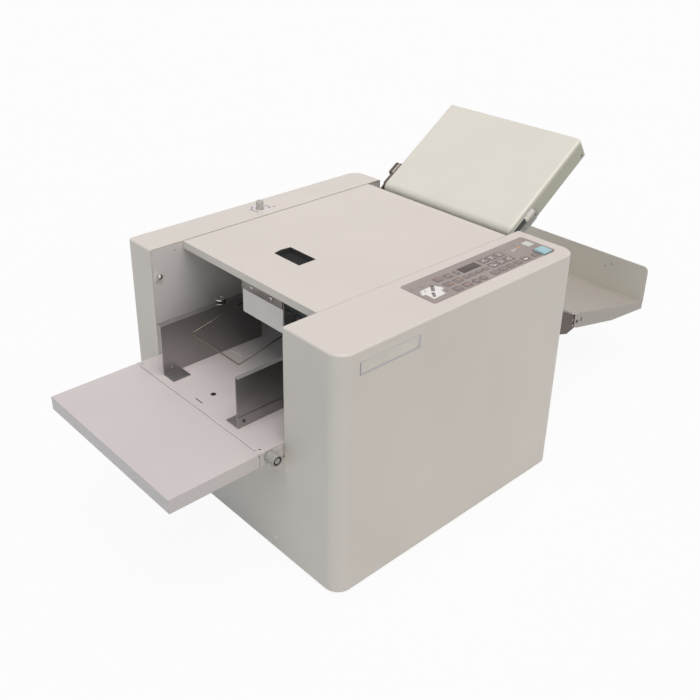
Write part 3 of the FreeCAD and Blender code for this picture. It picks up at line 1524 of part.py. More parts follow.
def drive():
    """The motor, its pulley and the belt to the second fold roller."""
    pulley_low = GEAR_HIGH + 1
    pulley_high = pulley_low + s.belt_width
    motor_low = pulley_high + 3
    motor_high = BACK - s.shell_wall - 3
    can = rod("motor_can", "Y", s.motor_x, s.motor_z, motor_low, motor_high, s.motor_radius, TIRE_SIDES)
    foot = block("motor_foot", s.motor_x - 22, s.motor_x + 22, motor_low + 4, motor_high - 4,
                 BASE_TOP, s.motor_z - 10)
    around = (s.spindle_radius + s.running_gap) / math.cos(math.pi / PIN_SIDES)
    bore = rod("motor_bore", "Y", s.motor_x, s.motor_z, motor_low - 1, motor_low + 12, around, PIN_SIDES)
    finish(cut("drive_motor", join("motor_body", [can, foot]), [bore]), "drive_motor")
    wheel = rod("pulley_wheel", "Y", s.motor_x, s.motor_z, pulley_low, pulley_high, s.motor_pulley_radius,
                KNOB_SIDES)
    shaft = rod("pulley_shaft", "Y", s.motor_x, s.motor_z, pulley_high - 1, motor_low + 10, s.spindle_radius,
                PIN_SIDES)
    finish(join("motor_pulley", [wheel, shaft]), "motor_pulley")

    belt = doc.addObject("Part::Feature", "drive_belt")
    inner = belt_outline(s.motor_pulley_radius.value + 0.3, s.drive_pulley_radius.value + 0.3)
    thick = s.belt_thick.value
    outer = belt_outline(s.motor_pulley_radius.value + 0.3 + thick, s.drive_pulley_radius.value + 0.3 + thick)
    face = Part.Face(outer).cut(Part.Face(inner))
    belt.Shape = face.extrude(Vector(0, s.belt_width.value - 1, 0)).Solids[0]
    belt.Placement = Placement(Vector(0, pulley_low.value + 0.5, 0), Rotation())
    finish(belt, "drive_belt")


def belt_outline(small, large):
    """A closed belt line round the motor pulley and the drive pulley."""
    x0, z0 = s.motor_x.value, s.motor_z.value
    x1, z1 = ROLLERS[2][0].value, ROLLERS[2][1].value
    heading = math.atan2(z1 - z0, x1 - x0)
    spread = math.acos((small - large) / math.hypot(x1 - x0, z1 - z0))
    points = around_pulley(x1, z1, large, heading + spread, -2 * spread)
    points += around_pulley(x0, z0, small, heading - spread, 2 * spread - 2 * math.pi)
    return Part.makePolygon(points + points[:1])


def around_pulley(x, z, radius, start, sweep):
    """Points of a line that wraps a pulley in eight straight steps."""
    step = sweep / 8
    reach = radius / math.cos(step / 2)
    angles = [start + step * (i + 0.5) for i in range(8)]
    return [Vector(x + reach * math.cos(a), 0, z + reach * math.sin(a)) for a in angles]


def fasteners():
    """Pins, stud and screw heads that stay with the frame."""
    pieces = []
    head = s.pin_head
    for low, high in ((FRAME_FRONT - head, INSIDE_FRONT + s.sheet_thick + 3),
                      (INSIDE_BACK - s.sheet_thick - 3, FRAME_BACK + head)):
        pieces.append(rod("lid_pin", "Y", LID_PIN_X, LID_PIN_Z, low, high, s.lid_pin_radius, PIN_SIDES))
    for low, high in ((WELL_FRONT - head, WELL_FRONT + s.arm_thick + head),
                      (WELL_BACK - s.arm_thick - head, WELL_BACK + head)):
        pieces.append(rod("tray_pin", "Y", TRAY_PIN_X, TRAY_PIN_Z, low, high, s.tray_pin_radius, PIN_SIDES))
    x, z = FEED + 14, TOP - 55
    pieces.append(rod("catch_stud", "Y", x, z, WELL_BACK - 4, WELL_BACK, s.stud_radius, PIN_SIDES))
    face = BRIDGE_START - s.plate_thick - 2
    for side in (-0.5, 0.5):
        y = PAPER_CENTRE + s.strip_screw_pitch * side
        radius = s.strip_screw_radius
        pieces.append(rod("strip_screw", "X", y, s.plate_high - 7, face - 1.6, face, radius, PIN_SIDES))
    group("fasteners", pieces)


def centre_parts():
    """Move every sub-part so that the origin is under the middle of the whole length."""
    for obj in finished:
        place = repr(obj.Placement.Base.x)
        for path, text in obj.ExpressionEngine:
            if path.strip(".") == "Placement.Base.x":
                place = text
        obj.setExpression("Placement.Base.x", f"{place} - {MIDDLE.text}")


def check_and_write():
    """Stop on any failed object, then write one STEP file for each sub-part."""
    doc.recompute()
    for obj in doc.Objects:
        if "Invalid" in obj.State or "Error" in obj.State:
            raise RuntimeError(f"{obj.Label} failed: {obj.State}")
    os.makedirs("parts", exist_ok=True)
    for obj in finished:
        shape = obj.Shape
        if shape.isNull() or not shape.isValid():
            raise RuntimeError(f"{obj.Label} has no valid shape")
        shape.exportStep(f"parts/{obj.Label}.step")
        print(f"{obj.Label:22s} solids {len(shape.Solids)} volume {shape.Volume:12.1f}")
    print(len(finished), "sub-parts")


front_cover()
back_cover()
side_frames()
base_plate()
feet()
end_panels()
cross_stays()
feed_table()
lift_rods()
feed_flap()
guides()
lock_knob()
racks()
pinion()
skew_knob()
top_lid()
lid_pull()
separator()
sheet_stop()
wire_bail()
feed_roller()
fold_rollers()
fold_gears()
exit_roller()
fold_plate_cover()
fold_plate_pocket()
fold_stop()
fold_plate_rails()
latches()
lower_fold_plate()
delivery_chute()
tray_brackets()
exit_tray()
control_panel()
key("start_key", *START_KEY, 3.2)
key("stop_key", *STOP_KEY, 1.8)
circuit_board()
top_knob()
mains()
drive()
fasteners()
centre_parts()
check_and_write()
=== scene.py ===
import math

import bmesh
import bpy
from mathutils import Matrix, Vector


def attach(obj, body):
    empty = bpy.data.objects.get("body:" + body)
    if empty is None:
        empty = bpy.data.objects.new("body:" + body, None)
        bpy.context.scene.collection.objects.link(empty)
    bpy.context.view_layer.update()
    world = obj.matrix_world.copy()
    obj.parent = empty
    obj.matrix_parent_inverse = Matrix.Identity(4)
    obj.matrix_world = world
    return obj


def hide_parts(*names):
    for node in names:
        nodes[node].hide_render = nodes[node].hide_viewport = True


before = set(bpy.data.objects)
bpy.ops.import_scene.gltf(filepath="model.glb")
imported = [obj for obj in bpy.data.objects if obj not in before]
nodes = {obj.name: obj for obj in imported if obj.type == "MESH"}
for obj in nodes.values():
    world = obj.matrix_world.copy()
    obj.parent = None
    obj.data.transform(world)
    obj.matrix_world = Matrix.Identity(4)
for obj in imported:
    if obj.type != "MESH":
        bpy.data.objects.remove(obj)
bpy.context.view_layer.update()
scene = bpy.context.scene
scene.view_settings.view_transform = "Standard"
MM = 0.001
MID = 149.6722  # from the housing's middle to the row's origin along X, in mm


def at(x, y, z):
    """A point given in mm about the housing's middle, in metres in the row's frame."""
    return Vector(((x - MID) * MM, y * MM, z * MM))


# ---------------------------------------------------------------- camera
# Fitted to the photograph: angles in radians, the eye in mm, the focal length in its pixels.
HEADING, PITCH, ROLL = 0.836989, 0.462975, 0.00874
EYE = (-1029.42, -1089.54, 1107.32)
FOCAL_PIXELS, PHOTO_PIXELS = 916.097, 700
SHIFT_X, SHIFT_Y = 0.02857, -0.0844
SENSOR_WIDTH = 36

forward = Vector((math.cos(PITCH) * math.cos(HEADING), math.cos(PITCH) * math.sin(HEADING), -math.sin(PITCH)))
level_right = forward.cross(Vector((0, 0, 1))).normalized()
level_up = level_right.cross(forward)
right = level_right * math.cos(ROLL) + level_up * math.sin(ROLL)
up = level_up * math.cos(ROLL) - level_right * math.sin(ROLL)
eye = at(*EYE)
camera_data = bpy.data.cameras.new("camera")
camera = bpy.data.objects.new("camera", camera_data)
scene.collection.objects.link(camera)
camera.matrix_world = Matrix((
    (right.x, up.x, -forward.x, eye.x),
    (right.y, up.y, -forward.y, eye.y),
    (right.z, up.z, -forward.z, eye.z),
    (0, 0, 0, 1),
))
camera_data.sensor_width = SENSOR_WIDTH
camera_data.lens = FOCAL_PIXELS / PHOTO_PIXELS * SENSOR_WIDTH
camera_data.shift_x = SHIFT_X
camera_data.shift_y = SHIFT_Y
camera_data.clip_end = 100
scene.camera = camera

# ---------------------------------------------------------------- materials
# Noise scales, in repeats per metre, and the depths of the bumps, in metres.
ORANGE_PEEL, SPARK_GRAIN, FILM_GRAIN = 900, 1500, 2600
PEEL_DEPTH, GRAIN_DEPTH, FILM_DEPTH, INK_DEPTH = 0.00006, 0.00005, 0.00003, 0.00002
SHEET_EDGE, MOULD_EDGE = 0.0012, 0.0006
# Where the fold plate's rounded edges turn into its side walls, in metres along Y; beyond them the side walls
# take painted shade.
FOLD_WALLS = ((-0.1452, -0.1415), (0.1892, 0.1855))


def srgb(r, g, b):
    """A colour seen as 0..255, as the linear value that a shader takes."""
    out = []
    for value in (r, g, b):
        value /= 255
        out.append(value / 12.92 if value <= 0.04045 else ((value + 0.055) / 1.055) ** 2.4)
    return (*out, 1)


def shade(color, k):
    """The colour, lighter or darker."""
    return (min(1, color[0] * k), min(1, color[1] * k), min(1, color[2] * k), 1)


class Shader:
    """A material with its nodes at hand."""

    def __init__(self, name):
        self.material = bpy.data.materials.new(name)
        self.material.use_nodes = True
        self.tree = self.material.node_tree
        self.bsdf = self.tree.nodes["Principled BSDF"]
        self.coords = self.add("ShaderNodeTexCoord").outputs["Object"]
        self.normal = None

    def add(self, kind, **inputs):
        """A node with some of its inputs set."""
        node = self.tree.nodes.new(kind)
        for key, value in inputs.items():
            node.inputs[key].default_value = value
        return node

    def link(self, out, into):
        self.tree.links.new(out, into)

    def set(self, socket, value):
        """A value that is the same all over."""
        self.bsdf.inputs[socket].default_value = value

    def drive(self, socket, out):
        """A value that varies over the surface."""
        self.link(out, self.bsdf.inputs[socket])

    def axis(self, name):
        """One of the object's own coordinates, in metres."""
        node = self.add("ShaderNodeSeparateXYZ")
        self.link(self.coords, node.inputs["Vector"])
        return node.outputs[name]

    def noise(self, scale, detail=2.0, rough=0.5, stretch=(1, 1, 1)):
        """Noise laid out on the object's own coordinates."""
        mapping = self.add("ShaderNodeMapping", Scale=stretch)
        self.link(self.coords, mapping.inputs["Vector"])
        node = self.add("ShaderNodeTexNoise", Scale=scale, Detail=detail, Roughness=rough)
        self.link(mapping.outputs["Vector"], node.inputs["Vector"])
        return node.outputs["Fac"]

    def ramp(self, fac, low, high, first, last):
        """One colour below low, the other above high."""
        node = self.add("ShaderNodeValToRGB")
        for element, place, color in zip(node.color_ramp.elements, (low, high), (first, last)):
            element.position = place
            element.color = color
        self.link(fac, node.inputs["Fac"])
        return node.outputs["Color"]

    def drifting(self, fac, color, less, more, margin=0.3):
        """The colour, darker by one share and lighter by another from place to place."""
        return self.ramp(fac, margin, 1 - margin, shade(color, 1 - less), shade(color, 1 + more))

    def blend(self, fac, first, second):
        """Two colours mixed; the second may be plain."""
        node = self.add("ShaderNodeMix")
        node.data_type = "RGBA"
        self.link(fac, node.inputs["Factor"])
        self.link(first, node.inputs[6])
        if isinstance(second, tuple):
            node.inputs[7].default_value = second
        else:
            self.link(second, node.inputs[7])
        return node.outputs[2]

    def spread(self, fac, low, high, start=0.0, end=1.0):
        """A value carried from start..end to low..high."""
        node = self.add("ShaderNodeMapRange")
        for key, value in (("From Min", start), ("From Max", end), ("To Min", low), ("To Max", high)):
            node.inputs[key].default_value = value
        self.link(fac, node.inputs["Value"])
        return node.outputs["Result"]

    def times(self, first, second):
        """The product of two values."""
        node = self.add("ShaderNodeMath")
        node.operation = "MULTIPLY"
        self.link(first, node.inputs[0])
        self.link(second, node.inputs[1])
        return node.outputs["Value"]

    def rounded_normal(self, radius):
        """The normal of edges seen as if they were rounded."""
        node = self.add("ShaderNodeBevel", Radius=radius)
        node.samples = 6
        return node.outputs["Normal"]

    def worn_edges(self, base, radius, color):
        """Outer corners, found where a rounded normal leaves the true one, take a second colour."""
        geometry = self.add("ShaderNodeNewGeometry")
        dot = self.add("ShaderNodeVectorMath")
        dot.operation = "DOT_PRODUCT"
        self.link(self.rounded_normal(radius), dot.inputs[0])
        self.link(geometry.outputs["True Normal"], dot.inputs[1])
        wear = self.spread(dot.outputs["Value"], 1.0, 0.0, 0.72, 0.97)
        patch = self.spread(self.noise(140, 3.0), 0.0, 1.0, 0.42, 0.62)
        return self.blend(self.times(wear, patch), base, color)

    def bump(self, height, strength, distance):
        """A bump laid over the normal so far."""
        node = self.add("ShaderNodeBump", Strength=strength, Distance=distance)
        self.link(height, node.inputs["Height"])
        if self.normal is not None:
            self.link(self.normal, node.inputs["Normal"])
        self.normal = node.outputs["Normal"]

    def done(self):
        """The finished material."""
        if self.normal is not None:
            self.drive("Normal", self.normal)
        return self.material


def paint(name, color, rough=0.42):
    """Powder-coated sheet: fine orange peel, slight drift in tone and gloss, rubbed corners."""
    s = Shader(name)
    base = s.drifting(s.noise(5.0, 3.0), color, 0.03, 0.03, 0.25)
    s.drive("Base Color", s.worn_edges(base, SHEET_EDGE * 1.2, shade(color, 1.07)))
    s.drive("Roughness", s.spread(s.noise(60), rough - 0.05, rough + 0.07))
    s.normal = s.rounded_normal(SHEET_EDGE)
    s.bump(s.noise(ORANGE_PEEL, 2.0, 0.6), 0.35, PEEL_DEPTH)
    s.bump(s.noise(ORANGE_PEEL * 0.12), 0.25, PEEL_DEPTH * 1.6)
    s.set("Specular IOR Level", 0.4)
    return s.done()


def two_tone_and_painted_shade(name, axis, line, low, high, rough):
    """Sheets in one mesh with one tone below a line across an axis and the other above it: two-tone paint on
    the fold plate rails; on the exit tray, painted shade below the line and painted light above it.
    """
    s = Shader(name)
    side = s.spread(s.axis(axis), 0.0, 1.0, line - 0.0002, line + 0.0002)
    first = s.drifting(s.noise(5.0, 3.0), low, 0.03, 0.03, 0.25)
    second = s.drifting(s.noise(7.0, 3.0), high, 0.03, 0.03, 0.25)
    s.drive("Base Color", s.blend(side, first, second))
    s.drive("Roughness", s.spread(s.noise(60), rough - 0.05, rough + 0.07))
    s.normal = s.rounded_normal(0.001)
    s.bump(s.noise(ORANGE_PEEL, 2.0, 0.6), 0.35, PEEL_DEPTH)
    return s.done()


def plate_skin_with_painted_shade(name, color, side):
    """The fold plate's moulded cover, with painted shade that makes its side walls darker than its top."""
    s = Shader(name)
    inside = [s.spread(s.axis("Y"), 0.0, 1.0, wall, edge) for wall, edge in FOLD_WALLS]
    # wall is the painted shade of the side walls; face is the cover's own cream colour.
    wall, face = [s.drifting(s.noise(14, 4.0), tone, 0.02, 0.02) for tone in (side, color)]
    s.drive("Base Color", s.blend(s.times(*inside), wall, face))
    s.drive("Roughness", s.spread(s.noise(90, 3.0), 0.34, 0.48))
    s.normal = s.rounded_normal(0.0015)
    s.bump(s.noise(SPARK_GRAIN, 3.0, 0.7), 0.4, FILM_DEPTH)
    return s.done()


def moulded(name, color, rough=0.5, grain=SPARK_GRAIN, depth=GRAIN_DEPTH, drift=0.05, shine=0.5):
    """Moulded plastic with a spark-eroded grain."""
    s = Shader(name)
    s.drive("Base Color", s.drifting(s.noise(14, 4.0), color, drift, drift))
    s.drive("Roughness", s.spread(s.noise(90, 3.0), rough - 0.06, rough + 0.08))
    s.normal = s.rounded_normal(MOULD_EDGE)
    s.bump(s.noise(grain, 3.0, 0.7), 0.4, depth)
    s.set("Specular IOR Level", shine)
    return s.done()


def ink(name, color, rough=0.4, drift=0.05):
    """Printing that lies a little proud of its ground."""
    return moulded(name, color, rough, depth=INK_DEPTH, drift=drift)


def metal(name, color, rough=0.3, stretch=(1, 1, 1), scale=400, streak=0.12):
    """Bare metal with brush lines along the short side of the stretch."""
    s = Shader(name)
    lines = s.noise(scale, 4.0, 0.65, stretch)
    s.drive("Base Color", s.drifting(s.noise(9, 3.0), color, 0.1, 0.08))
    s.set("Metallic", 1.0)
    s.drive("Roughness", s.spread(lines, rough - streak / 2, rough + streak))
    s.normal = s.rounded_normal(MOULD_EDGE)
    s.bump(lines, 0.12, 0.00004)
    return s.done()


def rubber(name, color, rough=0.75):
    """Ground rubber."""
    s = Shader(name)
    s.drive("Base Color", s.drifting(s.noise(160, 4.0, 0.7), color, 0.2, 0.25))
    s.drive("Roughness", s.spread(s.noise(70, 3.0), rough - 0.08, rough + 0.1))
    s.bump(s.noise(1300, 3.0, 0.7), 0.5, 0.00008)
    return s.done()


def display(name):
    """A dark display behind a satin film."""
    s = Shader(name)
    rows = s.add("ShaderNodeTexWave", Scale=900.0, Distortion=0.0)
    rows.bands_direction = "X"
    s.link(s.coords, rows.inputs["Vector"])
    s.drive("Base Color", s.ramp(rows.outputs["Fac"], 0.0, 1.0, srgb(78, 70, 68), srgb(88, 79, 77)))
    s.drive("Roughness", s.spread(s.noise(30), 0.38, 0.5))
    s.set("Specular IOR Level", 0.25)
    return s.done()


cover = paint("cover_paint", srgb(214, 208, 199))
table_paint = paint("table_paint", srgb(205, 199, 197))
frame_paint = paint("frame_paint", srgb(222, 217, 214), rough=0.5)
inner_paint = paint("inner_paint", srgb(132, 133, 131), rough=0.55)
arm_brown = paint("arm_brown", srgb(92, 80, 74), rough=0.45)
rail_grey = paint("rail_grey", srgb(176, 174, 168), rough=0.45)
# A lighter copy of the table's paint, a painted highlight along the flap seam's hem.
hem_painted_highlight = paint("hem_painted_highlight", srgb(238, 233, 231))
rail_paint = two_tone_and_painted_shade("rail_paint", "Y", 0, srgb(182, 180, 175), srgb(98, 84, 74), rough=0.45)
# The exit tray's darker tone below X 0.6459 m is painted shade on its floor; its lighter tone is painted
# light on its end wall.
tray_paint_with_painted_shade = two_tone_and_painted_shade("tray_paint_with_painted_shade", "X", 0.6459, srgb(170, 165, 156), srgb(217, 214, 204), rough=0.42)
# The second colour is painted shade on the fold plate's side walls.
plate_cream = plate_skin_with_painted_shade("plate_cream", srgb(222, 219, 206), srgb(178, 177, 160))

guide_steel = metal("guide_steel", srgb(160, 157, 156), 0.4, (0.03, 1, 1), 900, 0.08)
strip_steel = metal("strip_steel", srgb(160, 155, 152), 0.3, (1, 0.03, 1), 800, 0.06)
bright_steel = metal("bright_steel", srgb(190, 188, 184), 0.22, (1, 0.05, 1), 700)
wire_steel = metal("wire_steel", srgb(108, 100, 92), 0.28, scale=1200, streak=0.06)
dark_steel = metal("dark_steel", srgb(92, 88, 84), 0.35, scale=900)
plate_silver = metal("plate_silver", srgb(199, 195, 186), 0.3, (0.04, 1, 1), 1400)
chrome = metal("chrome", srgb(206, 206, 205), 0.12, streak=0.04)

guard_white = moulded("guard_white", srgb(250, 245, 238), rough=0.45)
black = moulded("black", srgb(34, 33, 32), rough=0.42)
pull_black = moulded("pull_black", srgb(22, 22, 22), rough=0.6, shine=0.15)
latch_cream = moulded("latch_cream", srgb(206, 200, 190), rough=0.45)
latch_brown = moulded("latch_brown", srgb(84, 72, 64), rough=0.5)
knob_grey = moulded("knob_grey", srgb(168, 165, 160), rough=0.45)
knob_light = moulded("knob_light", srgb(188, 184, 178), rough=0.4)
acetal = moulded("acetal", srgb(226, 224, 216), rough=0.38)
board_green = moulded("board_green", srgb(38, 92, 56), rough=0.35)
key_blue = moulded("key_blue", srgb(164, 200, 206), rough=0.4)
key_white = moulded("key_white", srgb(206, 207, 200), rough=0.4)
# Mid grey, painted shade standing for the dark gap lines beside the lid.
gap_painted_shade = moulded("gap_painted_shade", srgb(150, 145, 136), rough=0.6)
film = moulded("film", srgb(151, 140, 135), 0.38, FILM_GRAIN, FILM_DEPTH, 0.025)
key_film = moulded("key_film", srgb(124, 111, 107), 0.36, FILM_GRAIN, FILM_DEPTH, 0.03)

print_dark = ink("print_dark", srgb(90, 80, 78))
print_grey = ink("print_grey", srgb(106, 100, 98), rough=0.45)
print_pale = ink("print_pale", srgb(176, 167, 165), drift=0.02)
print_white = ink("print_white", srgb(232, 230, 226), drift=0.02)
print_lilac = ink("print_lilac", srgb(194, 188, 192), rough=0.45)
print_frost = ink("print_frost", srgb(224, 217, 221), rough=0.45)
print_orange = ink("print_orange", srgb(222, 152, 60), rough=0.35)
print_red = ink("print_red", srgb(150, 66, 58))

display_glass = display("display_glass")
black_rubber = rubber("black_rubber", srgb(44, 43, 42))
grey_rubber = rubber("grey_rubber", srgb(96, 92, 88), rough=0.65)

USED = {
    cover: "front_cover back_cover lower_feed_panel delivery_panel top_lid",
    table_paint: "feed_table feed_flap",
    frame_paint: "back_side_frame",
    inner_paint: "front_side_frame base_plate separator_bridge sheet_stop delivery_chute",
    plate_cream: "fold_plate_cover",
    guide_steel: "back_guide front_guide",
    strip_steel: "clamp_strip",
    bright_steel: "cross_stays lift_rods flap_hinge_pins feed_shaft fold_plate_pocket "
                  "lower_fold_plate motor_pulley fasteners",
    arm_brown: "tray_brackets drive_motor",
    rail_paint: "fold_plate_rails",
    tray_paint_with_painted_shade: "exit_tray",
    guard_white: "separator_plate",
    black: "upper_fold_stop mains_inlet power_switch",
    acetal: "back_guide_rack front_guide_rack guide_pinion fold_gear_1 fold_gear_2 fold_gear_3 "
            "fold_gear_4",
    board_green: "circuit_board",
    black_rubber: "exit_roller drive_belt",
    grey_rubber: "fold_roller_1 fold_roller_2 fold_roller_3 fold_roller_4",
}
for material, names in USED.items():
    for name in names.split():
        data = nodes[name].data
        data.materials.clear()
        data.materials.append(material)

# ---------------------------------------------------------------- drawing kit
# The fold plate's slope, and the corner from which places along it are counted, in mm.
FOLD_SLOPE = math.radians(34.4)
FOLD_X, FOLD_Z = 264, 445


class Plane:
    """A flat place on the object, in mm about the housing's middle: u, v in it and n outward."""

    def __init__(self, origin, u, v):
        self.origin = Vector(origin)
        self.u = Vector(u)
        self.v = Vector(v)
        self.n = self.u.cross(self.v)

    def point(self, u, v, h=0.0):
        """A place in the plane, or h above it."""
        return at(*(self.origin + self.u * u + self.v * v + self.n * h))


def top(z):
    """Faces up; u runs along X and v along Y."""
    return Plane((0, 0, z), (1, 0, 0), (0, 1, 0))


def front(y):
    """Faces the operator; u runs along X and v up."""
    return Plane((0, y, 0), (1, 0, 0), (0, 0, 1))


def back(y):
    """Faces the back; u runs against X and v up."""
    return Plane((0, y, 0), (-1, 0, 0), (0, 0, 1))


def feed(x):
    """Faces the feed side; u runs against Y and v up."""
    return Plane((x, 0, 0), (0, -1, 0), (0, 0, 1))


def delivery(x):
    """Faces the delivery side; u runs along Y and v up."""
    return Plane((x, 0, 0), (0, 1, 0), (0, 0, 1))


def fold_side(y, sign):
    """A side of the fold plate; u runs up its slope, or down it where sign is -1."""
    run, rise = math.cos(FOLD_SLOPE), math.sin(FOLD_SLOPE)
    return Plane((FOLD_X, y, FOLD_Z), (sign * run, 0, sign * rise), (-rise, 0, run))


def disc(u, v, radius, sides=24):
    """The corners of a round outline."""
    turns = [2 * math.pi * i / sides for i in range(sides)]
    return [(u + radius * math.cos(a), v + radius * math.sin(a)) for a in turns]


def rounded(u, v, width, height, radius, steps=4):
    """A rounded rectangle about its middle."""
    out = []
    for cx, cy, start in ((1, 1, 0), (-1, 1, 90), (-1, -1, 180), (1, -1, 270)):
        for i in range(steps + 1):
            a = math.radians(start + 90 * i / steps)
            out.append((u + cx * (width / 2 - radius) + radius * math.cos(a),
                        v + cy * (height / 2 - radius) + radius * math.sin(a)))
    return out


def loop(bm, plane, outline, level):
    """An outline's corners at one level above a plane."""
    return [bm.verts.new(plane.point(u, v, level)) for u, v in outline]


def join_rows(bm, rows):
    """Faces between closed loops that have as many corners."""
    for lower, upper in zip(rows, rows[1:]):
        for i in range(len(lower)):
            j = (i + 1) % len(lower)
            bm.faces.new((lower[i], lower[j], upper[j], upper[i]))


def skin(bm, rows):
    """A closed solid through a stack of loops."""
    join_rows(bm, rows)
    bm.faces.new(rows[0][::-1])
    bm.faces.new(rows[-1])


def prism(bm, plane, outline, low, high):
    """A closed flat solid on a plane."""
    skin(bm, [loop(bm, plane, outline, level) for level in (low, high)])


def dome(bm, plane, outline, low, high, inset, steps=3):
    """A flat solid whose upper edge is rolled over."""
    cu = sum(p[0] for p in outline) / len(outline)
    cv = sum(p[1] for p in outline) / len(outline)
    reach = max(max(abs(u - cu), abs(v - cv)) for u, v in outline)
    rows = [loop(bm, plane, outline, low)]
    for i in range(steps + 1):
        a = math.pi / 2 * i / steps
        k = 1 - inset * (1 - math.cos(a)) / reach
        level = high - inset * 0.6 + inset * 0.6 * math.sin(a)
        rows.append(loop(bm, plane, [(cu + (u - cu) * k, cv + (v - cv) * k) for u, v in outline], level))
    skin(bm, rows)


def ring(bm, plane, outer, inner, low, high):
    """A flat solid with an opening; both outlines have as many corners."""
    rows = [loop(bm, plane, outline, level)
            for outline, level in ((outer, low), (outer, high), (inner, high), (inner, low))]
    join_rows(bm, rows + rows[:1])


def plate(bm, plane, outlines, low, high):
    """A flat solid; the first outline is its rim and the others are its openings."""
    edges = []
    for outline in outlines:
        rim = loop(bm, plane, outline, high)
        edges += [bm.edges.new((rim[i - 1], rim[i])) for i in range(len(rim))]
    filled = bmesh.ops.triangle_fill(bm, use_beauty=True, edges=edges)
    faces = [part for part in filled["geom"] if isinstance(part, bmesh.types.BMFace)]
    moved = bmesh.ops.extrude_face_region(bm, geom=faces)
    verts = [part for part in moved["geom"] if isinstance(part, bmesh.types.BMVert)]
    bmesh.ops.translate(bm, verts=verts, vec=plane.n * (low - high) * MM)


def stroke(bm, plane, points, width, low, high):
    """A line of even width with mitred corners."""
    left, right = [], []
    for i, (u, v) in enumerate(points):
        before = Vector(points[i]) - Vector(points[i - 1]) if i else None
        after = Vector(points[i + 1]) - Vector(points[i]) if i < len(points) - 1 else None
        a = (before or after).normalized()
        b = (after or before).normalized()
        along = (a + b).normalized() if (a + b).length > 0.3 else a
        side = Vector((-along.y, along.x)) * (width / 2 / max(0.5, along.dot(a)))
        left.append((u + side.x, v + side.y))
        right.append((u - side.x, v - side.y))
    for i in range(len(points) - 1):
        prism(bm, plane, [right[i], right[i + 1], left[i + 1], left[i]], low, high)


def turned_rows(bm, plane, u, v, profile, sides, wobble=None):
    """The loops of a turned skin; wobble moves single corners in or out by a share."""
    rows = []
    for radius, height in profile:
        row = []
        for i in range(sides):
            a = 2 * math.pi * i / sides
            r = radius * (1 + (wobble(i, radius, height) if wobble else 0))
            row.append(bm.verts.new(plane.point(u + r * math.cos(a), v + r * math.sin(a), height)))
        rows.append(row)
    return rows


def lathe(bm, plane, u, v, profile, sides=32, wobble=None):
    """A turned piece about the plane's normal; the profile runs from its foot to its top."""
    skin(bm, turned_rows(bm, plane, u, v, profile, sides, wobble))


def lathe_open(bm, plane, u, v, profile, sides):
    """A turned skin that is open at its top."""
    rows = turned_rows(bm, plane, u, v, profile, sides)
    join_rows(bm, rows)
    bm.faces.new(rows[0][::-1])


def pan_head(bm, plane, u, v, radius, height, slot_turn):
    """A screw head with a cross recess cut as four sunken walls."""
    profile = [(radius * 0.98, 0), (radius, height * 0.25), (radius * 0.93, height * 0.6),
               (radius * 0.72, height * 0.9), (radius * 0.5, height)]
    lathe_open(bm, plane, u, v, profile, 40)
    turn = math.radians(slot_turn)
    arm, half = radius * 0.45, radius * 0.1
    cross = []
    for quarter in range(4):
        a = turn + quarter * math.pi / 2
        for x, y in ((arm, -half), (arm, half), (half, half)):
            cross.append((u + x * math.cos(a) - y * math.sin(a), v + x * math.sin(a) + y * math.cos(a)))
    around = [turn + 2 * math.pi * i / 12 - math.pi / 12 for i in range(12)]
    outer = [(u + radius * 0.5 * math.cos(a), v + radius * 0.5 * math.sin(a)) for a in around]
    rows = [loop(bm, plane, outline, level)
            for outline, level in ((outer, height), (cross, height), (cross, height * 0.45))]
    join_rows(bm, rows)
    bm.faces.new(rows[-1])


def cap_screw(bm, plane, u, v, radius, height):
    """A socket screw: a round head with a hexagonal well."""
    sides = 24
    profile = [(radius, 0), (radius, height * 0.8), (radius * 0.88, height), (radius * 0.55, height)]
    lathe_open(bm, plane, u, v, profile, sides)
    mouth, floor = [], []
    for i in range(sides):
        a = 2 * math.pi * i / sides
        flat = math.cos(math.pi / 6) / math.cos((a % (math.pi / 3)) - math.pi / 6)
        for row, r in ((mouth, radius * 0.55), (floor, radius * 0.5 * flat)):
            row.append((u + r * math.cos(a), v + r * math.sin(a)))
    rows = [loop(bm, plane, mouth, height), loop(bm, plane, floor, height * 0.35)]
    join_rows(bm, rows)
    bm.faces.new(rows[-1])


def drawn(kind, *forms):
    """A drawing of one kind of form, once for each set of its values."""
    def draw(bm):
        for form in forms:
            kind(bm, *form)
    return draw


def piece(name, body, material, draw, instead=()):
    """Draw a mesh, smooth it, and let it ride on a body."""
    bm = bmesh.new()
    draw(bm)
    bmesh.ops.recalc_face_normals(bm, faces=bm.faces)
    data = bpy.data.meshes.new(name)
    bm.to_mesh(data)
    bm.free()
    data.materials.append(material)
    for polygon in data.polygons:
        polygon.use_smooth = True
    data.set_sharp_from_angle(angle=math.radians(32))
    obj = bpy.data.objects.new(name, data)
    scene.collection.objects.link(obj)
    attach(obj, body)
    if instead:
        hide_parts(*instead)


# ---------------------------------------------------------------- control panel
FILM = top(452.8)
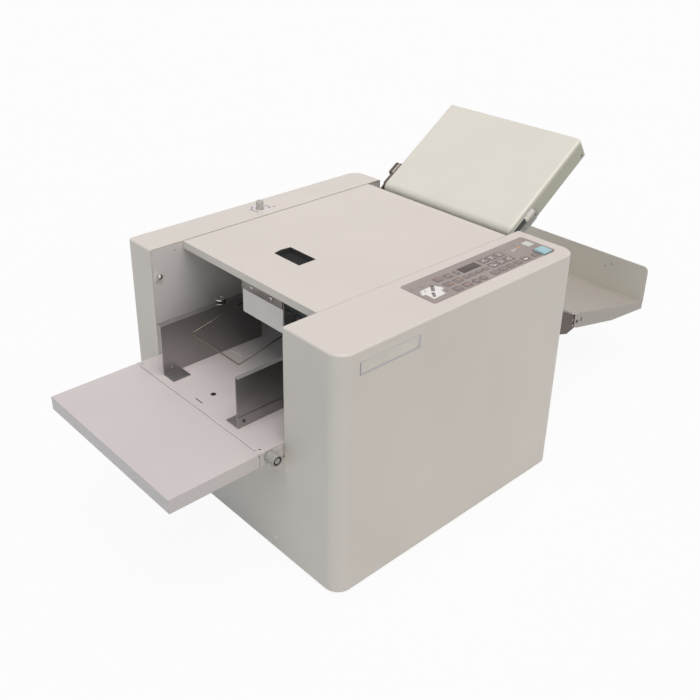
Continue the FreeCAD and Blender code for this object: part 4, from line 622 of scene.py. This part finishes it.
# Where printing starts and ends above its ground, in mm; it is sunk in a little.
INK, DOT_INK, KEY_INK = (-0.01, 0.07), (-0.01, 0.06), (0.2, 0.33)
ARROW_INK, OVER_INK = (0.02, 0.12), (0.03, 0.11)
PAIR_KEYS = [(10.5, -201.5), (10.8, -223.6), (10, -244.8), (33, -203), (34, -224.1), (33.2, -244.8)]
SMALL_KEYS = [(54.5, -225.2), (70, -225.2), (86, -225.2), (102, -225.2)]
FOLD_KEYS = [(125, -202.2), (145.3, -202.8), (165.3, -203), (125, -224.3), (145.3, -224.3), (165.6, -224.4)]
PLAIN_KEYS = [(104, -245.6), (124, -245.4), (144, -245.4), (164.8, -245.6)]
LAST_KEYS = [(188, -244), (214.5, -244.6)]
PLUS_KEY = (53.2, -203.4)
KEY_SIZES = ((PAIR_KEYS, 17.5, 14.5), (SMALL_KEYS, 13.6, 9.2), (FOLD_KEYS, 18.4, 17), (PLAIN_KEYS, 17, 12.6),
             (LAST_KEYS, 19, 14), ([PLUS_KEY], 8.6, 15))
ROUND_KEYS, ROUND_V = (54.4, 72.4), -246.2
FOLD_MARKS = (
    [(4.6, 3.6), (-4.8, -1.6), (5.2, -3.2)],
    [(5.2, 3.8), (-4.6, 3.0), (4.6, -2.2), (-5, -3.4)],
    [(-4.8, 3.4), (5, 3.8), (-4.8, -3.6), (5, -3.2)],
    [(-2, 4), (-5.2, 0.6), (5.2, -1.4), (0.6, -4.4), (-4.2, -3.2)],
    [(5.2, 4), (-5, 2.8), (5.2, -1.0), (-5.2, -4)],
    [(0.6, 4.2), (5.2, 2.2), (-5.2, -0.6), (-1.6, -3.8), (5, -3.4)],
)


def panel_film(bm):
    """The printed film, with windows for the two raised keys."""
    rim = []
    for cu, cv, radius, start in ((253, -185, 6, 0), (-52.5, -183.5, 4.5, 90), (-52.5, -251.5, 4.5, 180),
                                  (253, -250, 6, 270)):
        for i in range(7):
            a = math.radians(start + 15 * i)
            rim.append((cu + radius * math.cos(a), cv + radius * math.sin(a)))
    windows = [rounded(237.5, -243.5, 23.6, 23.6, 1.2), rounded(240, -208, 18.6, 18.6, 1.2)]
    plate(bm, FILM, [rim] + windows, -0.8, 0)


def key_outlines(bm):
    """Printed lines round the keys, and the small dots and dashes."""
    for keys, width, height in KEY_SIZES:
        for x, y in keys:
            outer, inner = rounded(x, y, width, height, 2), rounded(x, y, width - 1.5, height - 1.5, 1.2)
            ring(bm, FILM, outer, inner, *INK)
    for x in ROUND_KEYS:
        ring(bm, FILM, disc(x, ROUND_V, 7.8, 32), disc(x, ROUND_V, 6.7, 32), *INK)
    for x in (182, 191, 199.8, 208.4, 217):
        prism(bm, FILM, disc(x, -196, 1.25, 14), *DOT_INK)
    for x, y in ((-50, -198), (-33, -199.6)):
        prism(bm, FILM, disc(x, y, 1.3, 14), *DOT_INK)
        stroke(bm, FILM, [(x - 1, y - 4), (x + 6, y - 4)], 0.7, *DOT_INK)
    ring(bm, FILM, rounded(237.5, -243.2, 28.5, 27.5, 2.2), rounded(237.5, -243.2, 26, 25, 1.2), *INK)


def key_faces(bm):
    """The keys' faces, domed under the film."""
    for keys, width, height in KEY_SIZES:
        for x, y in keys:
            dome(bm, FILM, rounded(x, y, width - 1.8, height - 1.8, 1.3), -0.02, 0.28, 0.7)
    for x in ROUND_KEYS:
        dome(bm, FILM, disc(x, ROUND_V, 6.7, 32), -0.02, 0.28, 0.8)


def fold_marks(bm):
    """The folds' pictures on their keys, an arrow, and a zigzag with its dash."""
    for (x, y), mark in zip(FOLD_KEYS, FOLD_MARKS):
        stroke(bm, FILM, [(x + u, y + v) for u, v in mark], 1.3, *KEY_INK)
    x, y = LAST_KEYS[0]
    arrow = ((-4, 2.6), (-4, -1), (-1.6, -3.4), (2.6, -3.4), (5, -0.6), (5, 2.2), (2.6, 0), (0, 0.4))
    prism(bm, FILM, [(x - 1.2 + u, y + v) for u, v in arrow], *KEY_INK)
    zigzag = [(194, -210.4), (196.6, -206.4), (199.2, -210), (202, -206), (204.8, -209.6)]
    stroke(bm, FILM, zigzag, 1.3, *INK)
    stroke(bm, FILM, [(207, -206), (211.6, -206)], 1.2, *INK)


def key_marks(bm):
    """The plain marks on the other keys, and the two bent arrows."""
    for i, (x, y) in enumerate(PLAIN_KEYS):
        if i == 0:
            ring(bm, FILM, rounded(x, y, 8, 6, 0.6), rounded(x, y, 6.4, 4.4, 0.4), *KEY_INK)
            continue
        stroke(bm, FILM, [(x - 4.5, y - 1.6), (x - 1, y + 1.6), (x + 1, y + 1.6)], 0.8, *KEY_INK)
        prism(bm, FILM, rounded(x + 3, y - 0.6, 2.6, 2.6, 0.4), *KEY_INK)
    for x, y in SMALL_KEYS[:2]:
        prism(bm, FILM, rounded(x, y, 7, 1.4, 0.5), *KEY_INK)
    for x, y in SMALL_KEYS[2:]:
        ring(bm, FILM, rounded(x, y, 4.4, 4, 0.5), rounded(x, y, 3, 2.6, 0.4), *KEY_INK)
    for x, y in PAIR_KEYS:
        u, v = x - 1.5, y - 1
        ring(bm, FILM, rounded(u, v, 7.4, 6.4, 0.6), rounded(u, v, 6.4, 5.4, 0.4), *KEY_INK)
        stroke(bm, FILM, [(x + 4, y - 3.2), (x + 4, y + 3.4)], 0.8, *KEY_INK)
    x, y = LAST_KEYS[1]
    ring(bm, FILM, disc(x, y, 4.2, 20), disc(x, y, 3.5, 20), *KEY_INK)
    stroke(bm, FILM, [(x - 2.4, y - 1.4), (x, y + 1.6), (x + 2.4, y - 1.4)], 0.8, *KEY_INK)
    x, y = PLUS_KEY
    stroke(bm, FILM, [(x - 2.6, y), (x + 2.6, y)], 1.1, *KEY_INK)
    stroke(bm, FILM, [(x, y + 2.6), (x, y - 2.6)], 1.1, *KEY_INK)
    for x in ROUND_KEYS:
        stroke(bm, FILM, [(x - 3, ROUND_V), (x + 3, ROUND_V)], 1.2, *KEY_INK)
    stroke(bm, FILM, [(x, ROUND_V + 3), (x, ROUND_V - 3)], 1.2, *KEY_INK)
    for x, y in ((185.4, -219.4), (216.4, -220.6)):
        stroke(bm, FILM, [(x + 4, y + 3), (x + 4, y), (x - 4, y)], 1.1, *INK)
        prism(bm, FILM, [(x - 5.4, y), (x - 2.2, y - 2.2), (x - 2.2, y + 2.2)], *INK)
    stroke(bm, FILM, [(191, -221), (211, -222.6)], 0.5, *INK)


def fold_picture(bm):
    """The white picture of a cross-folded sheet at the feed end of the panel."""
    cross = [(-43.6, -211.5), (-21.3, -210.3), (-10.4, -212.5), (-9.1, -217.5), (-5, -223.6), (-6.4, -229.7),
             (-14, -230.4), (-17.5, -243.4), (-46, -244.4), (-45.2, -225.6), (-51.5, -225.6), (-49.9, -217.4)]
    prism(bm, FILM, cross[::-1], *DOT_INK)


def fold_arrows(bm):
    """The grey bands and corners over that picture."""
    for strip in (((-15.4, -206.8), (-30, -224.1), (-23.3, -225.7), (-10, -210.7)),
                  ((-33.4, -226.3), (-42.4, -239.3), (-37.4, -240.8), (-28.6, -229.6))):
        prism(bm, FILM, strip, *ARROW_INK)
    for x, y in ((-48, -215.6), (-9.4, -236.4)):
        stroke(bm, FILM, [(x - 2.4, y - 2.4), (x + 2, y - 2.4), (x + 2, y + 2.2)], 0.8, *ARROW_INK)
    for u in (-37.4, -34.4):
        stroke(bm, FILM, [(u, -214.6), (u - 3.6, -219)], 0.8, *ARROW_INK)


def arrow_tips(bm):
    """White arrowheads on the grey bands."""
    for u, v in ((-18.4, -215.4), (-22.4, -220.2), (-36.6, -234)):
        stroke(bm, FILM, [(u - 2.6, v + 0.6), (u, v - 2), (u + 2.6, v + 0.6)], 0.7, 0.1, 0.16)


def orange_marks(bm):
    """The orange bars and the small orange dome."""
    for x, y in ((12, -198.4), (31.6, -203.8), (15, -226.6), (35, -223.6), (33, -244.2)):
        prism(bm, FILM, rounded(x, y, 5.2, 1.7, 0.6), 0.2, 0.36)
    dome(bm, FILM, rounded(216.6, -206.2, 6.2, 4.4, 1.2), -0.01, 0.3, 0.6)
    prism(bm, FILM, rounded(206.8, -238.9, 4.2, 1.6, 0.5), 0.2, 0.36)


def panel_corner(bm):
    """The red part of the start key's printed border."""
    stroke(bm, FILM, [(252.6, -236), (252.6, -250.4), (251, -253), (247, -253.6)], 2.6, *OVER_INK)


piece("panel_film", "housing", film, panel_film, instead=("control_panel",))
for name, material, draw in (
        ("panel_outlines", print_dark, key_outlines),
        ("panel_key_faces", key_film, key_faces),
        ("panel_marks", print_pale, key_marks),
        ("panel_fold_marks", print_white, fold_marks),
        ("panel_fold_picture", print_white, fold_picture),
        ("panel_fold_arrows", print_grey, fold_arrows),
        ("panel_arrow_tips", print_white, arrow_tips),
        ("panel_orange", print_orange, orange_marks),
        ("panel_red", print_red, panel_corner),
        ("display_window", display_glass,
         drawn(dome, (FILM, rounded(85, -204, 46, 18.5, 1.2), -0.02, 0.22, 0.4)))):
    piece(name, "housing", material, draw)

# ---------------------------------------------------------------- raised keys


def soft_key(u, v, size, low, high):
    """A push key with rolled edges and a shallow dish."""
    def draw(bm):
        levels = [(0, low), (0, high - 1.1), (0.25, high - 0.45), (0.8, high - 0.08), (1.5, high),
                  (3.2, high - 0.12), (size * 0.36, high - 0.3)]
        rows = []
        for inset, level in levels:
            width = size - 2 * inset
            outline = rounded(u + size / 2, v + size / 2, width, width, max(0.4, 2.0 - inset * 0.3), 5)
            rows.append(loop(bm, top(0), outline, level))
        skin(bm, rows)
    return draw


piece("start_key_cap", "start_button", key_blue, soft_key(226, -255, 23, 441, 456),
      instead=("start_key",))
piece("stop_key_cap", "stop_button", key_white, soft_key(231, -217, 18, 441, 454.6),
      instead=("stop_key",))

# ---------------------------------------------------------------- nameplate
# A flat blank foil, its paler ends and lower band, and the dark line down its feed end.
FRONT_FACE = front(-284)
piece("nameplate", "housing", plate_silver,
      drawn(prism, (FRONT_FACE, rounded(-180, 420.4, 127.6, 23.4, 1.0), -0.02, 0.09)))
piece("nameplate_border", "housing", print_lilac,
      drawn(plate, (FRONT_FACE, [rounded(-180, 420.4, 127.4, 23.2, 0.9), rounded(-181, 422, 119, 18.8, 0.5)],
                    0.07, 0.12)))
piece("nameplate_edge", "housing", print_grey,
      drawn(prism, (FRONT_FACE, rounded(-243.2, 420.4, 0.9, 22.6, 0.3), 0.1, 0.13)))

# ---------------------------------------------------------------- dial and knobs
COVER_TOP = top(452)
DIAL_U, DIAL_V, DIAL_RADIUS = -12.5, 242, 18.2
KNOB_U, KNOB_V = -14.5, 242
SKEW, SKEW_U, SKEW_V = front(-157.3), -313, 232
LOCK, LOCK_U, LOCK_V = top(340.3), -183, 147


def on_dial(angle, radius):
    """A place round the dial's middle."""
    a = math.radians(angle)
    return (DIAL_U + radius * math.cos(a), DIAL_V + radius * math.sin(a))


def dial_ground(bm):
    """The pale printed ring below the arcs."""
    outer = [on_dial(a, DIAL_RADIUS + 1.8) for a in range(0, 360, 6)]
    inner = [on_dial(a, DIAL_RADIUS - 5.5) for a in range(0, 360, 6)]
    ring(bm, COVER_TOP, outer, inner, -0.01, 0.05)


def dial(bm):
    """Printed arcs with arrowheads and ticks round the knob."""
    for start, end in ((105, 200), (340, 390)):
        arc = [on_dial(a, DIAL_RADIUS) for a in range(start, end + 1, 5)]
        stroke(bm, COVER_TOP, arc, 2.2, *OVER_INK)
    for a, turn in ((205, -1), (335, 1)):
        tip = [on_dial(a - 11 * turn, DIAL_RADIUS), on_dial(a + 3 * turn, DIAL_RADIUS + 2.5),
               on_dial(a + 3 * turn, DIAL_RADIUS - 2.5)]
        prism(bm, COVER_TOP, tip[::turn], *OVER_INK)
    for a in (213, 240, 270, 309):
        stroke(bm, COVER_TOP, [on_dial(a, DIAL_RADIUS - 1), on_dial(a, DIAL_RADIUS + 1.6)], 0.9, *OVER_INK)
    for line in ([(11.5, 234.8), (16.5, 232.8)], [(14, 231.3), (14, 236.3)], [(-39, 248.4), (-34, 246.4)]):
        stroke(bm, COVER_TOP, line, 1.1, *DOT_INK)


def back_knob(bm):
    """The fine-fluted adjusting knob."""
    profile = [(4, -12), (4, 0.3), (7.5, 0.3), (7.5, 1.2), (7.3, 1.6), (7.3, 15.2), (6.9, 16.4), (6.2, 17),
               (5.2, 17), (4.8, 16.7), (1, 16.7)]

    def flutes(i, radius, _):
        return -0.035 if 7.25 < radius < 7.4 and i % 4 == 0 else 0

    lathe(bm, COVER_TOP, KNOB_U, KNOB_V, profile, 96, flutes)


def skew_knob(bm):
    """The fluted knob below the table's edge."""
    profile = [(4, -7.3), (4, 0), (9.8, 0), (10.3, 0.6), (10.3, 3.2), (10.1, 3.6), (10.1, 18.6), (9.7, 19.5),
               (9.2, 20), (8.4, 20), (8.0, 19.7), (8.0, 17.0), (4.8, 17.0), (4.8, 19.2), (4.4, 19.6),
               (1, 19.6)]

    def flutes(i, radius, _):
        return -0.085 if 9.6 < radius < 10.2 and i % 8 in (0, 1, 7) else 0

    lathe(bm, SKEW, SKEW_U, SKEW_V, profile, 96, flutes)


def lock_knob(bm):
    """The side guides' clamping knob, with two flanges."""
    profile = [(2, -6.2), (2, 0), (9.4, 0), (9.9, 0.4), (9.9, 1.2), (9.0, 1.5), (9.0, 6.8), (9.9, 7.1),
               (9.9, 8.3), (9.4, 8.9), (8.4, 9), (6.2, 9), (5.8, 8.6), (0.8, 8.6)]
    lathe(bm, LOCK, LOCK_U, LOCK_V, profile, 64)


def lock_knurl(bm):
    """The knurled band of that knob."""
    profile = [(9.1, 1.5), (9.7, 1.7), (9.7, 6.6), (9.1, 6.8)]
    lathe(bm, LOCK, LOCK_U, LOCK_V, profile, 120, lambda i, r, _: -0.05 if r > 9.5 and i % 2 else 0)


piece("knob_dial_ground", "housing", print_frost, dial_ground)
piece("knob_dial", "housing", print_grey, dial)
piece("adjusting_knob_turned", "back_knob", knob_light, back_knob, instead=("adjusting_knob",))
piece("adjusting_knob_pointer", "back_knob", print_dark,
      drawn(prism, (COVER_TOP, rounded(KNOB_U, KNOB_V + 3.6, 1.2, 4.6, 0.4), 16.6, 17.06)))
piece("skew_knob_moulded", "skew_adjuster", knob_grey, skew_knob, instead=("skew_knob",))
piece("skew_knob_groove", "skew_adjuster", black,
      drawn(ring, (SKEW, disc(SKEW_U, SKEW_V, 8.05, 40), disc(SKEW_U, SKEW_V, 4.75, 40), 16.9, 18.6)))
piece("guide_lock_knob_turned", "lock_knob", chrome, lock_knob, instead=("guide_lock_knob",))
piece("guide_lock_knob_knurl", "lock_knob", black, lock_knurl)

# ---------------------------------------------------------------- lid pull


def lid_pull(bm):
    """A flush black pull with a shallow hollow and a roofed back edge."""
    window = [(-123.8, -6.3), (-87.2, -6.3), (-87.2, 59.3), (-107, 59.3), (-123.8, 59.3)]
    rim = [(-124.6, -7.1), (-86.4, -6.6), (-86.2, 61.8), (-106.9, 64.2), (-124.4, 60.2)]
    lip = [(-122, -4.6), (-89, -4.2), (-88.8, 58.8), (-107, 59.1), (-122, 57.6)]
    well = [(-115.5, 2), (-94, 2.2), (-94, 53.4), (-106.5, 54.6), (-115.5, 52.4)]
    levels = ((window, -7), (window, -0.02), (rim, -0.02), (rim, 0.3), (lip, 0.5), (well, -4.5))
    skin(bm, [loop(bm, top(451.2), outline, level) for outline, level in levels])


piece("lid_pull_moulded", "lid", pull_black, lid_pull, instead=("lid_pull",))

# ---------------------------------------------------------------- seams
TABLE_TOP = 242


def seam_web(bm):
    """The table's lip under the seam of the flap, and its fillers beside the hinge lugs."""
    dome(bm, top(TABLE_TOP - 0.1), rounded(-330, 26.5, 1.8, 337, 0.3), -4, 0, 0.2)
    for v in (-148, 201):
        dome(bm, top(TABLE_TOP - 0.02), rounded(-327, v, 1.8, 10.8, 0.3), -3, 0, 0.2)
    for u in (155.05, -208.05):
        dome(bm, feed(-331.2), rounded(u, 226, 0.9, 24, 0.3), -2, 0, 0.2)


def table_holes(bm):
    """A flat black disc over the sensor's hole, and a flat black strip that is painted shade for the slot in
    the table.
    """
    lathe(bm, top(TABLE_TOP), -285.6, 32.8, [(4.9, -0.05), (4.9, 0.05), (4.5, 0.1), (0.4, 0.06)], 28)
    # The slot's strip is painted shade: a black patch laid on the table top.
    dome(bm, top(TABLE_TOP), rounded(-315.8, 32.2, 1.6, 21, 0.5), -0.02, 0.06, 0.05)


# Thin grey strips along the lid's sides: painted shade for the gap between the lid and the covers.
piece("lid_gap_painted_shade", "housing", gap_painted_shade,
      drawn(dome, *((top(451), rounded(34.5, v, 496, 1.2, 0.3), -1.4, 0, 0.2) for v in (-156.5, 209.5))))
piece("table_seam_web", "table", table_paint, seam_web)
# A rolled hem on the table's edge; its lighter paint is a painted highlight.
piece("table_seam_hem", "table", hem_painted_highlight,
      drawn(dome, (top(TABLE_TOP - 0.1), rounded(-328.75, 26.5, 0.8, 363, 0.3), -0.2, 0.32, 0.2)))
piece("table_hole_disc_and_slot_shade", "table", black, table_holes)
piece("flap_seam_fillers", "flap", table_paint,
      drawn(dome, *((top(TABLE_TOP - 0.02), rounded(-334, v, 1.8, 2.1, 0.3), -3, 0, 0.2)
                    for v in (-154.4, 207.4))))

# ---------------------------------------------------------------- wire bail


def tube(bm, path, radius, sides):
    """A round bar along a path given in mm."""
    rows = []
    side = Vector((0, 0, 1))
    for i, point in enumerate(path):
        along = (path[min(i + 1, len(path) - 1)] - path[max(i - 1, 0)]).normalized()
        side = (side - along * side.dot(along)).normalized()
        other = along.cross(side)
        turns = [2 * math.pi * k / sides for k in range(sides)]
        rows.append([bm.verts.new(at(*(point + (side * math.cos(a) + other * math.sin(a)) * radius)))
                     for a in turns])
    skin(bm, rows)


def wire_bail(bm):
    """The U of round wire, with true bends."""
    corners = [Vector(p) for p in ((-150, -17, 358), (-150, -36, 358), (-279, -36, 330), (-279, 100, 330),
                                   (-150, 100, 358), (-150, 81, 358))]
    path = [corners[0]]
    for before, corner, after in zip(corners, corners[1:], corners[2:]):
        start = corner + (before - corner).normalized() * 4
        end = corner + (after - corner).normalized() * 4
        for i in range(7):
            t = i / 6
            path.append(start * (1 - t) ** 2 + corner * 2 * t * (1 - t) + end * t * t)
    path.append(corners[-1])
    tube(bm, path, 1.4, 12)


piece("wire_bail_bent", "bail", wire_steel, wire_bail, instead=("wire_bail",))

# ---------------------------------------------------------------- latches and fold plate rails
FRONT_RAIL, BACK_RAIL = fold_side(-149.2, 1), fold_side(193.2, -1)
FRONT_LATCH, BACK_LATCH = fold_side(-149.4, 1), fold_side(193.4, -1)


def latch_strip(plane, sign):
    """The ribbed strip below a latch's cap; sign is that of its side of the fold plate."""
    def draw(bm):
        dome(bm, plane, rounded(32.5 * sign, -8.6, 35, 8, 1.2), 0, 3.6, 0.6)
        for step in range(6):
            prism(bm, plane, rounded((18 + step * 4.2) * sign, -8.6, 1.4, 6, 0.3), 3.4, 3.9)
    return draw


def front_latch_cap(bm):
    """The front latch's cap, with a rolled rim."""
    rows = []
    for grow, level in ((0, 0), (0, 4.6), (-0.4, 5.5), (-1.1, 6.1), (-2, 6.3)):
        outline = rounded(58, -8.4, 28 + 2 * grow, 8.4 + 2 * grow, max(1, 3.4 + grow), 5)
        rows.append(loop(bm, FRONT_LATCH, outline, level))
    skin(bm, rows)


def rail_symbol(bm):
    """The printed arrow and zigzag on the front rail's label."""
    face, ink = fold_side(-149.45, 1), (-0.02, 0.06)
    ring(bm, face, rounded(60, -25.5, 42, 9.4, 3), rounded(60, -25.5, 40.2, 7.6, 2.2), *ink)
    stroke(bm, face, [(44, -25.5), (74, -25.5)], 0.9, *ink)
    prism(bm, face, [(78, -25.5), (73.4, -22.8), (73.4, -28.2)], *ink)
    stroke(bm, face, [(33.4, -20.4), (37.6, -22.4), (33.4, -24.4), (37.6, -26.6), (33.4, -28.8)], 0.8, *ink)


piece("front_latch_strip", "front_release", black, latch_strip(FRONT_LATCH, 1))
piece("front_latch_cap", "front_release", latch_cream, front_latch_cap,
      instead=("front_latch",))
piece("back_latch_strip", "back_release", latch_brown, latch_strip(BACK_LATCH, -1))
piece("back_latch_neck", "back_release", latch_cream,
      drawn(prism, (BACK_LATCH, rounded(-58, -9.5, 27, 10, 2), 0, 4.4)))
piece("back_latch_cap", "back_release", latch_brown,
      drawn(dome, (BACK_LATCH, rounded(-58, -10, 30, 13, 3), 4, 11.5, 1.5)),
      instead=("back_latch",))
piece("rail_label", "housing", rail_grey,
      drawn(dome, (FRONT_RAIL, rounded(57, -25.5, 54, 15, 1), -0.02, 0.25, 0.5)))
piece("rail_symbol", "housing", print_dark, rail_symbol)
piece("rail_screws", "housing", dark_steel, drawn(
    pan_head, (FRONT_RAIL, 22, -31.2, 2.6, 1.2, 35), (FRONT_RAIL, 4, -20, 2.6, 1.2, 10),
    (BACK_RAIL, -22, -31.2, 2.6, 1.2, 50)))
piece("fold_plate_screws", "fold_plate", dark_steel, drawn(
    pan_head, (fold_side(-146, 1), 235.5, -30.6, 2.1, 0.9, 15),
    (fold_side(190, -1), -235.5, -30.6, 2.1, 0.9, 60)))

# ---------------------------------------------------------------- screws, studs and hinge details
TRAY_SIDE = front(-159)
STUD = [(5, 0), (5.2, 0.4), (5.2, 1.0), (4.6, 1.6), (4.0, 1.7), (3.8, 1.3), (3.2, 1.3), (3.0, 1.9),
        (2.2, 2.5), (0.6, 2.7)]
DOT = [(1.5, -0.1), (1.5, 0.4), (1.1, 0.7), (0.3, 0.8)]
ARM_SCREWS = [(plane, sign * x, z, 2.4, 0.4, x) for x, z in ((511, 182), (513, 168))
              for plane, sign in ((front(-157), 1), (back(210), -1))]
END_SCREWS = [(delivery(283), y, z, 3.2, 1.5, y + z) for z in (30, 180, 380) for y in (-140, 193)]
END_SCREWS += [(feed(-283), -y, 30, 3.2, 1.5, y) for y in (-130, 183)]


def tray_mark(bm):
    """The small punched tab beside the tray's hinge."""
    ring(bm, TRAY_SIDE, disc(539.3, 174.2, 3, 20), disc(539.3, 174.2, 1.7, 20), -0.02, 0.5)
    stroke(bm, TRAY_SIDE, [(537.4, 176.6), (539.2, 181.4), (541, 176.6)], 1.1, -0.02, 0.5)


piece("wall_stud", "housing", chrome, drawn(lathe, (front(206), -269, 397, STUD)))
piece("bright_screws", "housing", bright_steel, drawn(
    pan_head, (feed(-176.8), -5, 401, 4.2, 2.3, 35), (feed(-176.8), -59, 401, 4.2, 2.3, 89),
    (front(206.6), 257.8, 446.0, 2.4, 1.2, 45), (top(442), 262, 206, 2, 1, 0)))
piece("table_screws", "table", bright_steel, drawn(
    pan_head, *((top(TABLE_TOP - 0.05), -324, y, 2.4, 0.5, y) for y in (-146, 200))))
piece("guide_screws", "front_side_guide", dark_steel, drawn(
    cap_screw, *((front(-79), x, 253.4, 3.1, 1.3) for x in (-304, -120))))
piece("tray_hinge_heads", "housing", dark_steel, drawn(
    cap_screw, (TRAY_SIDE, 523, 176, 3.6, 1.1), (back(212), -523, 176, 3.6, 1.1)))
piece("tray_dots", "tray", print_grey, drawn(
    lathe, (feed(796), 50, 186, DOT, 16), (feed(796), 66, 196, DOT, 16)))
piece("tray_mark", "tray", dark_steel, tray_mark)
piece("arm_screws", "housing", bright_steel, drawn(pan_head, *ARM_SCREWS))
piece("panel_screws", "housing", bright_steel, drawn(pan_head, *END_SCREWS))

# ---------------------------------------------------------------- feet and tires
TIRE_MIDDLE, TIRE_PITCH, TIRE_WIDTH = 32, 46, 22
FOOT = [(12.4, 0), (13, 0.5), (14.6, 7), (15, 8)]


def tires(bm):
    """Three feed tires, with grooves across the tread."""
    profile = [(6, 0), (20.6, 0), (21.6, 0.4), (22, 1.2)]
    profile += [(22, 2 + 1.8 * k) for k in range(11)]
    profile += [(22, 20.8), (21.6, 21.6), (20.6, TIRE_WIDTH), (6, TIRE_WIDTH)]

    def grooves(i, radius, height):
        return -0.012 if 1.5 < height < 20.5 and i % 3 == 0 and radius > 21.9 else 0

    for step in (-1, 0, 1):
        y = TIRE_MIDDLE + TIRE_PITCH * step - TIRE_WIDTH / 2
        lathe(bm, back(y), -4, 349, profile, 96, grooves)


piece("rubber_feet", "housing", black_rubber,
      drawn(lathe, *((top(0), x, y, FOOT, 40) for x in (-231, 231) for y in (-232, 232))),
      instead=("feet",))
piece("feed_tires_grooved", "feed_roller", black_rubber, tires, instead=("feed_tires",))

# ---------------------------------------------------------------- stage
# The floor's half width in metres, its share of white where it is seen plainly, and the sky's strength.
FLOOR_REACH, FLOOR_GLOW, SKY_STRENGTH = 30, 0.94, 0.33


def whiten(tree, plain, kind, output, share):
    """A white glow where the camera, a reflection or a view through glass meets the surface."""
    path = tree.nodes.new("ShaderNodeLightPath")
    out = path.outputs["Is Camera Ray"]
    steps = [("MAXIMUM", path.outputs[name]) for name in ("Is Glossy Ray", "Is Transmission Ray")]
    for operation, other in steps + [("MULTIPLY", None)]:
        more = tree.nodes.new("ShaderNodeMath")
        more.operation = operation
        tree.links.new(out, more.inputs[0])
        if other is None:
            more.inputs[1].default_value = share
        else:
            tree.links.new(other, more.inputs[1])
        out = more.outputs["Value"]
    glow = tree.nodes.new(kind)
    glow.inputs["Color"].default_value = (1, 1, 1, 1)
    glow.inputs["Strength"].default_value = 1.0
    mix = tree.nodes.new("ShaderNodeMixShader")
    tree.links.new(out, mix.inputs["Fac"])
    tree.links.new(plain, mix.inputs[1])
    tree.links.new(glow.outputs[0], mix.inputs[2])
    tree.links.new(mix.outputs["Shader"], tree.nodes[output].inputs["Surface"])


def stage_white():
    """Pale floor that keeps a soft shadow and reads as white paper behind the object."""
    s = Shader("floor_white")
    s.drive("Base Color", s.ramp(s.noise(3.0), 0.3, 0.7, (0.61, 0.61, 0.61, 1), (0.64, 0.64, 0.64, 1)))
    s.set("Roughness", 0.9)
    whiten(s.tree, s.bsdf.outputs["BSDF"], "ShaderNodeEmission", "Material Output", FLOOR_GLOW)
    return s.material


mesh = bpy.data.meshes.new("floor")
corners = [(FLOOR_REACH * x, FLOOR_REACH * y, 0) for x, y in ((-1, -1), (1, -1), (1, 1), (-1, 1))]
mesh.from_pydata(corners, [], [(0, 1, 2, 3)])
floor = bpy.data.objects.new("floor", mesh)
floor.data.materials.append(stage_white())
scene.collection.objects.link(floor)

world = bpy.data.worlds.new("world")
scene.world = world
world.use_nodes = True
tree = world.node_tree
background = tree.nodes["Background"]
background.inputs["Color"].default_value = (0.97, 0.985, 1.0, 1)
background.inputs["Strength"].default_value = SKY_STRENGTH
whiten(tree, background.outputs["Background"], "ShaderNodeBackground", "World Output", 1)


def soft_sun(name, toward, power, spread, color):
    """Even light from a wide part of the sky; toward points from the object to it."""
    data = bpy.data.lights.new(name, "SUN")
    data.energy = power
    data.angle = math.radians(spread)
    data.color = color
    lamp = bpy.data.objects.new(name, data)
    lamp.rotation_euler = Vector(toward).to_track_quat("Z", "Y").to_euler()
    lamp.location = Vector(toward) * 3
    scene.collection.objects.link(lamp)


soft_sun("key", (-0.08, -0.22, 0.97), 2.05, 50, (1.0, 0.93, 0.94))
soft_sun("fill", (-0.3, -0.9, 0.25), 0.41, 60, (0.93, 1.0, 0.9))
soft_sun("side", (-1.0, -0.05, 0.12), 0.36, 60, (0.44, 0.76, 1.0))
